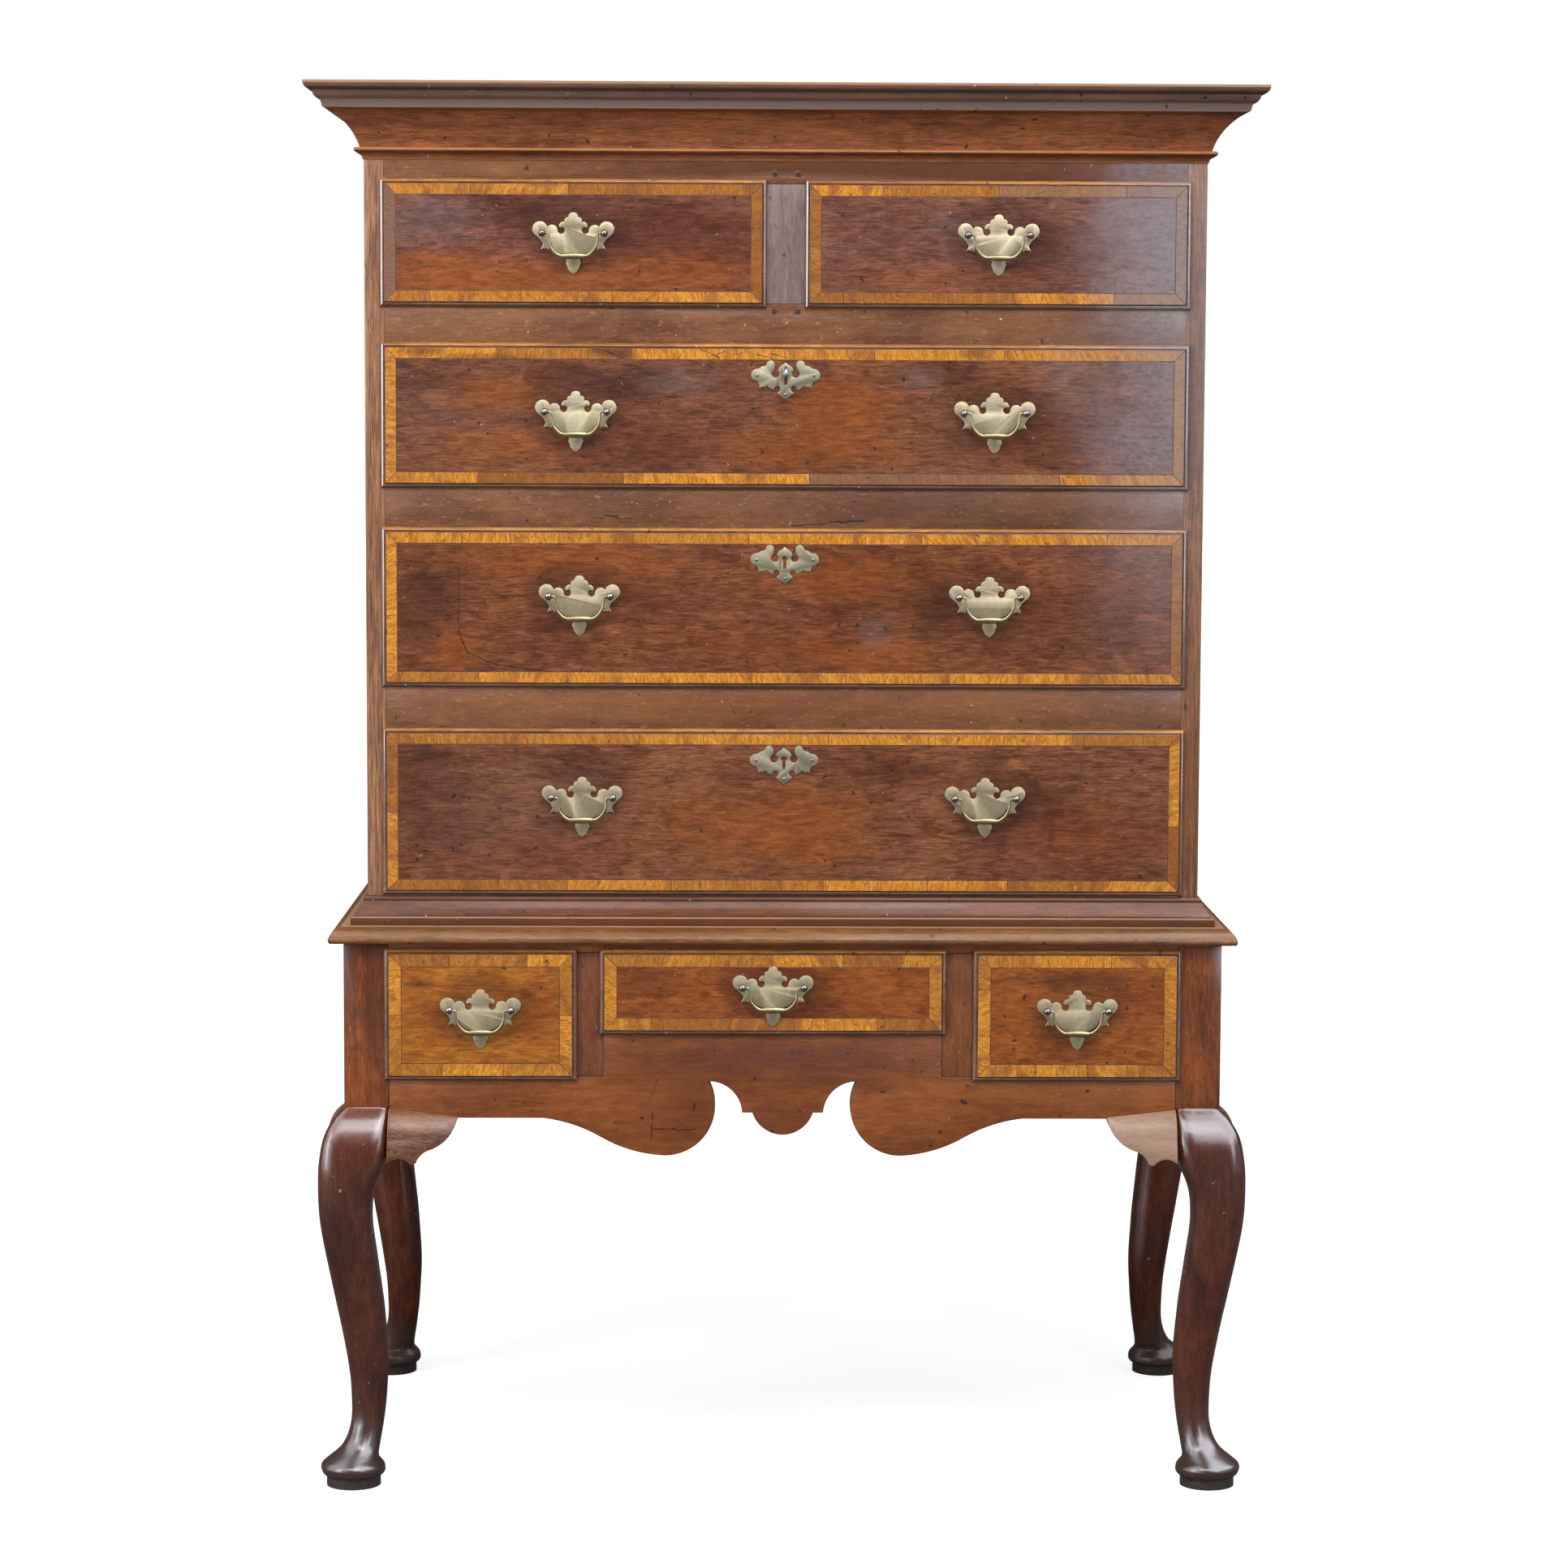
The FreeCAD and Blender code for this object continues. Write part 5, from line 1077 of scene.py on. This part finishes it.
def brass_finish(name, body, rub, rough, metal=0.85):
    """Clouded old metal, rubbed to a lighter colour at its arrises."""
    finish, tree, shader = new_finish(name)
    spot = object_spot(tree, ALONG_X)
    cloud = stretched(tree, spot, (55.0, 55.0, 55.0), 4.0, 0.6, 0.5)
    fine = stretched(tree, spot, (600.0, 600.0, 600.0), 2.0, 0.5)
    dull = tuple(channel * 0.72 for channel in body)
    colour = mixed(tree, between(tree, cloud, 0.35, 0.65), dull, body)
    spots = tuple(channel * 0.45 for channel in body)
    colour = mixed(tree, between(tree, fine, 0.60, 0.75, 0.0, 0.35), colour, spots)
    fill(tree, shader, {
        "Base Color": stained(tree, colour, worn_arris(tree), 0.8, rub), "Metallic": metal,
        "Roughness": between(tree, cloud, 0.3, 0.7, rough + 0.07, rough - 0.05),
        "Normal": relief(tree, cloud, 0.2, 0.3 * MM)})
    return finish


plate_brass = brass_finish("Plate brass", (0.450, 0.362, 0.225), (0.86, 0.76, 0.54), 0.46, 0.75)
bail_brass = brass_finish("Bail brass", (0.29, 0.230, 0.118), (0.60, 0.52, 0.32), 0.38)
head_bronze = brass_finish("Dark brass heads", (0.20, 0.155, 0.145), (0.42, 0.36, 0.32), 0.26)
key_plate_brass = brass_finish("Key plate brass", (0.340, 0.285, 0.190), (0.66, 0.58, 0.42), 0.44, 0.75)


HALF_HANDLE = 34.7 * MM


def handle_part(name):
    """Tells the plate, the key plate with its pins, the posts and the nuts of a drawer apart."""
    low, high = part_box(name + "_front")
    centre, pull_x = (low.x + high.x) / 2, SPREAD.get(name, 0.0)

    def part(middle, normal):
        if pull_x and abs(middle.x) < 60.0 * MM:
            return 1 if middle.y < low.y - 1.5 * MM else 3
        if middle.y > high.y - 0.1 * MM:
            return 2
        aside = abs(abs(middle.x - centre) - pull_x) - HALF_HANDLE
        rise = middle.z - PLATE_RISE[name]
        at_post = abs(aside) < 4.4 * MM and abs(rise) < 4.4 * MM
        proud = middle.y < low.y - 1.7 * MM
        return 1 if at_post and (proud or math.hypot(aside, rise) < 2.43 * MM) else 0

    return part


def fuller_grip(bm):
    """Thicken the grip of a bail, mostly upwards and downwards, and leave its ends as they are."""
    bm.normal_update()
    ends = [min(corner.co.x for corner in bm.verts), max(corner.co.x for corner in bm.verts)]
    centre, half = sum(ends) / 2, (ends[1] - ends[0]) / 2
    for corner in bm.verts:
        share = min(1.0, 4.0 * max(0.0, 0.80 - abs(corner.co.x - centre) / half))
        corner.co.x += corner.normal.x * share * 0.35 * MM
        corner.co.z += corner.normal.z * share * 0.75 * MM


for drawer in DRAWERS:
    parts = [plate_brass, head_bronze, head_bronze]
    if drawer in SPREAD:
        parts.append(key_plate_brass)
    worked_copy(drawer + "_handle_mounts", 0.42 * MM, parts, handle_part(drawer), smooth=32.0)
    names = ("_left_bail", "_right_bail") if drawer in SPREAD else ("_bail",)
    for name in names:
        worked_copy(drawer + name, 0.0, [bail_brass], smooth=50.0, cut=fuller_grip)

# ------------------------------------------------------------------ locks and key
# Wrought-iron locks are let into the backs of the long fronts, each with a sliding bolt. The
# steel key stands in the top one, with an oval bow worn bright on its rim.

lock_iron = brass_finish("Lock iron", (0.060, 0.055, 0.052), (0.20, 0.19, 0.18), 0.55, 0.8)
key_steel = brass_finish("Key steel", (0.30, 0.29, 0.28), (0.60, 0.58, 0.55), 0.30, 0.95)
for drawer in KEY_RISE:
    worked_copy(drawer + "_lock_case", 0.4 * MM, [lock_iron])
    worked_copy(drawer + "_lock_bolt", 0.5 * MM, [lock_iron])
worked_copy("drawer_key", 0.2 * MM, [key_steel], smooth=50.0)

# ------------------------------------------------------------------ studio
# A plain pale floor that runs out to a white background, a softbox overhead, a tall window of
# light on each side, and a camera at the height of the second row of drawers.


def floor_finish():
    """Pale grey by light, nearly white to the camera and dark to what mirrors it."""
    finish, tree, shader = new_finish("Pale floor")
    spot = object_spot(tree, ALONG_X)
    cloud = stretched(tree, spot, (1.3, 1.3, 1.3))
    path = place(tree, "LightPath").outputs
    bare = mixed(tree, cloud, (0.36, 0.36, 0.36), (0.39, 0.39, 0.39))
    glow = between(tree, measured(tree, "LENGTH", spot), 0.5, 2.4, 0.80, 0.93)
    fill(tree, shader, {
        "Base Color": mixed(tree, path["Is Glossy Ray"], bare, (0.07, 0.07, 0.07)), "Roughness": 0.9,
        "Emission Color": (1.0, 1.0, 1.0, 1.0),
        "Emission Strength": sums(tree, "MULTIPLY", path["Is Camera Ray"], glow)})
    return finish


floor_bm = bmesh.new()
bmesh.ops.create_grid(floor_bm, x_segments=1, y_segments=1, size=30.0)
floor = made_object("floor", floor_bm, [floor_finish()])

world = bpy.data.worlds.new("White studio")
world.use_nodes = True
bpy.context.scene.world = world
sky = world.node_tree
seen = place(sky, "LightPath").outputs
incoming = place(sky, "NewGeometry").outputs["Incoming"]
towards = axes(sky, vectors(sky, "MULTIPLY", incoming, (-1.0, -1.0, -1.0)))
level = sums(sky, "ABSOLUTE", towards[2])
ahead = between(sky, towards[1], 0.25, 0.05)
left_glow = sums(sky, "MULTIPLY", between(sky, towards[0], -0.32, -0.60), between(sky, level, 0.45, 0.25))
right_glow = sums(sky, "MULTIPLY", between(sky, towards[0], 0.45, 0.70), between(sky, level, 0.40, 0.20))
aside = sums(sky, "MAXIMUM", between(sky, towards[0], 0.02, 0.12),
             between(sky, towards[0], -0.12, -0.35, 0.0, 0.5))
high_glow = sums(sky, "MULTIPLY", between(sky, towards[2], 0.30, 0.58), between(sky, towards[1], 0.50, 0.10))
high_glow = sums(sky, "MULTIPLY", high_glow, aside)
glossy = sums(sky, "MULTIPLY_ADD", sums(sky, "MULTIPLY", left_glow, ahead), 4.4, 0.05)
glossy = sums(sky, "MULTIPLY_ADD", sums(sky, "MULTIPLY", right_glow, ahead), 0.9, glossy)
glossy = sums(sky, "MULTIPLY_ADD", high_glow, 9.5, glossy)
glossy = sums(sky, "MULTIPLY", seen["Is Glossy Ray"], glossy)
bright = sums(sky, "MAXIMUM", seen["Is Camera Ray"], seen["Is Transmission Ray"])
diffuse = sums(sky, "MULTIPLY", sums(sky, "SUBTRACT", 1.0, seen["Is Glossy Ray"]), 0.30)
strength = sums(sky, "MAXIMUM", sums(sky, "MAXIMUM", bright, glossy), diffuse)
daylight = mixed(sky, seen["Is Glossy Ray"], (1.0, 1.0, 1.0), (0.82, 0.91, 1.0))
fill(sky, sky.nodes["Background"], {"Strength": strength, "Color": daylight})


def window_light(name, at, towards, width, height, power):
    lamp = bpy.data.lights.new(name, "AREA")
    lamp.shape = "RECTANGLE"
    lamp.size = width
    lamp.size_y = height
    lamp.energy = power
    lamp.color = (0.92, 0.96, 1.0)
    lamp_object = bpy.data.objects.new(name, lamp)
    lamp_object.location = at
    lamp_object.rotation_euler = (Vector(towards) - Vector(at)).to_track_quat("-Z", "Y").to_euler()
    bpy.context.scene.collection.objects.link(lamp_object)


window_light("overhead softbox", (-0.3, -2.6, 3.5), (0.0, 0.0, 0.9), 2.6, 1.2, 95.0)
window_light("left window", (-3.0, -2.3, 1.7), (0.0, 0.0, 0.9), 1.0, 2.6, 70.0)
window_light("right window", (3.1, -4.4, 2.0), (0.0, 0.0, 1.1), 1.0, 2.2, 60.0)

camera_lens = bpy.data.cameras.new("camera")
camera_lens.lens = 93.2
camera_lens.sensor_width = 36.0
camera_lens.clip_end = 100.0
camera = bpy.data.objects.new("camera", camera_lens)
camera.location = (-0.070, -4.8298, 1.2458)
camera.rotation_euler = (Matrix.Rotation(math.radians(-0.88), 3, "Z")
                         @ Matrix.Rotation(math.radians(90.0 - 5.5), 3, "X")
                         @ Matrix.Rotation(math.radians(0.25), 3, "Z")).to_euler()
bpy.context.scene.collection.objects.link(camera)
bpy.context.scene.camera = camera
bpy.context.scene.view_settings.view_transform = "Standard"
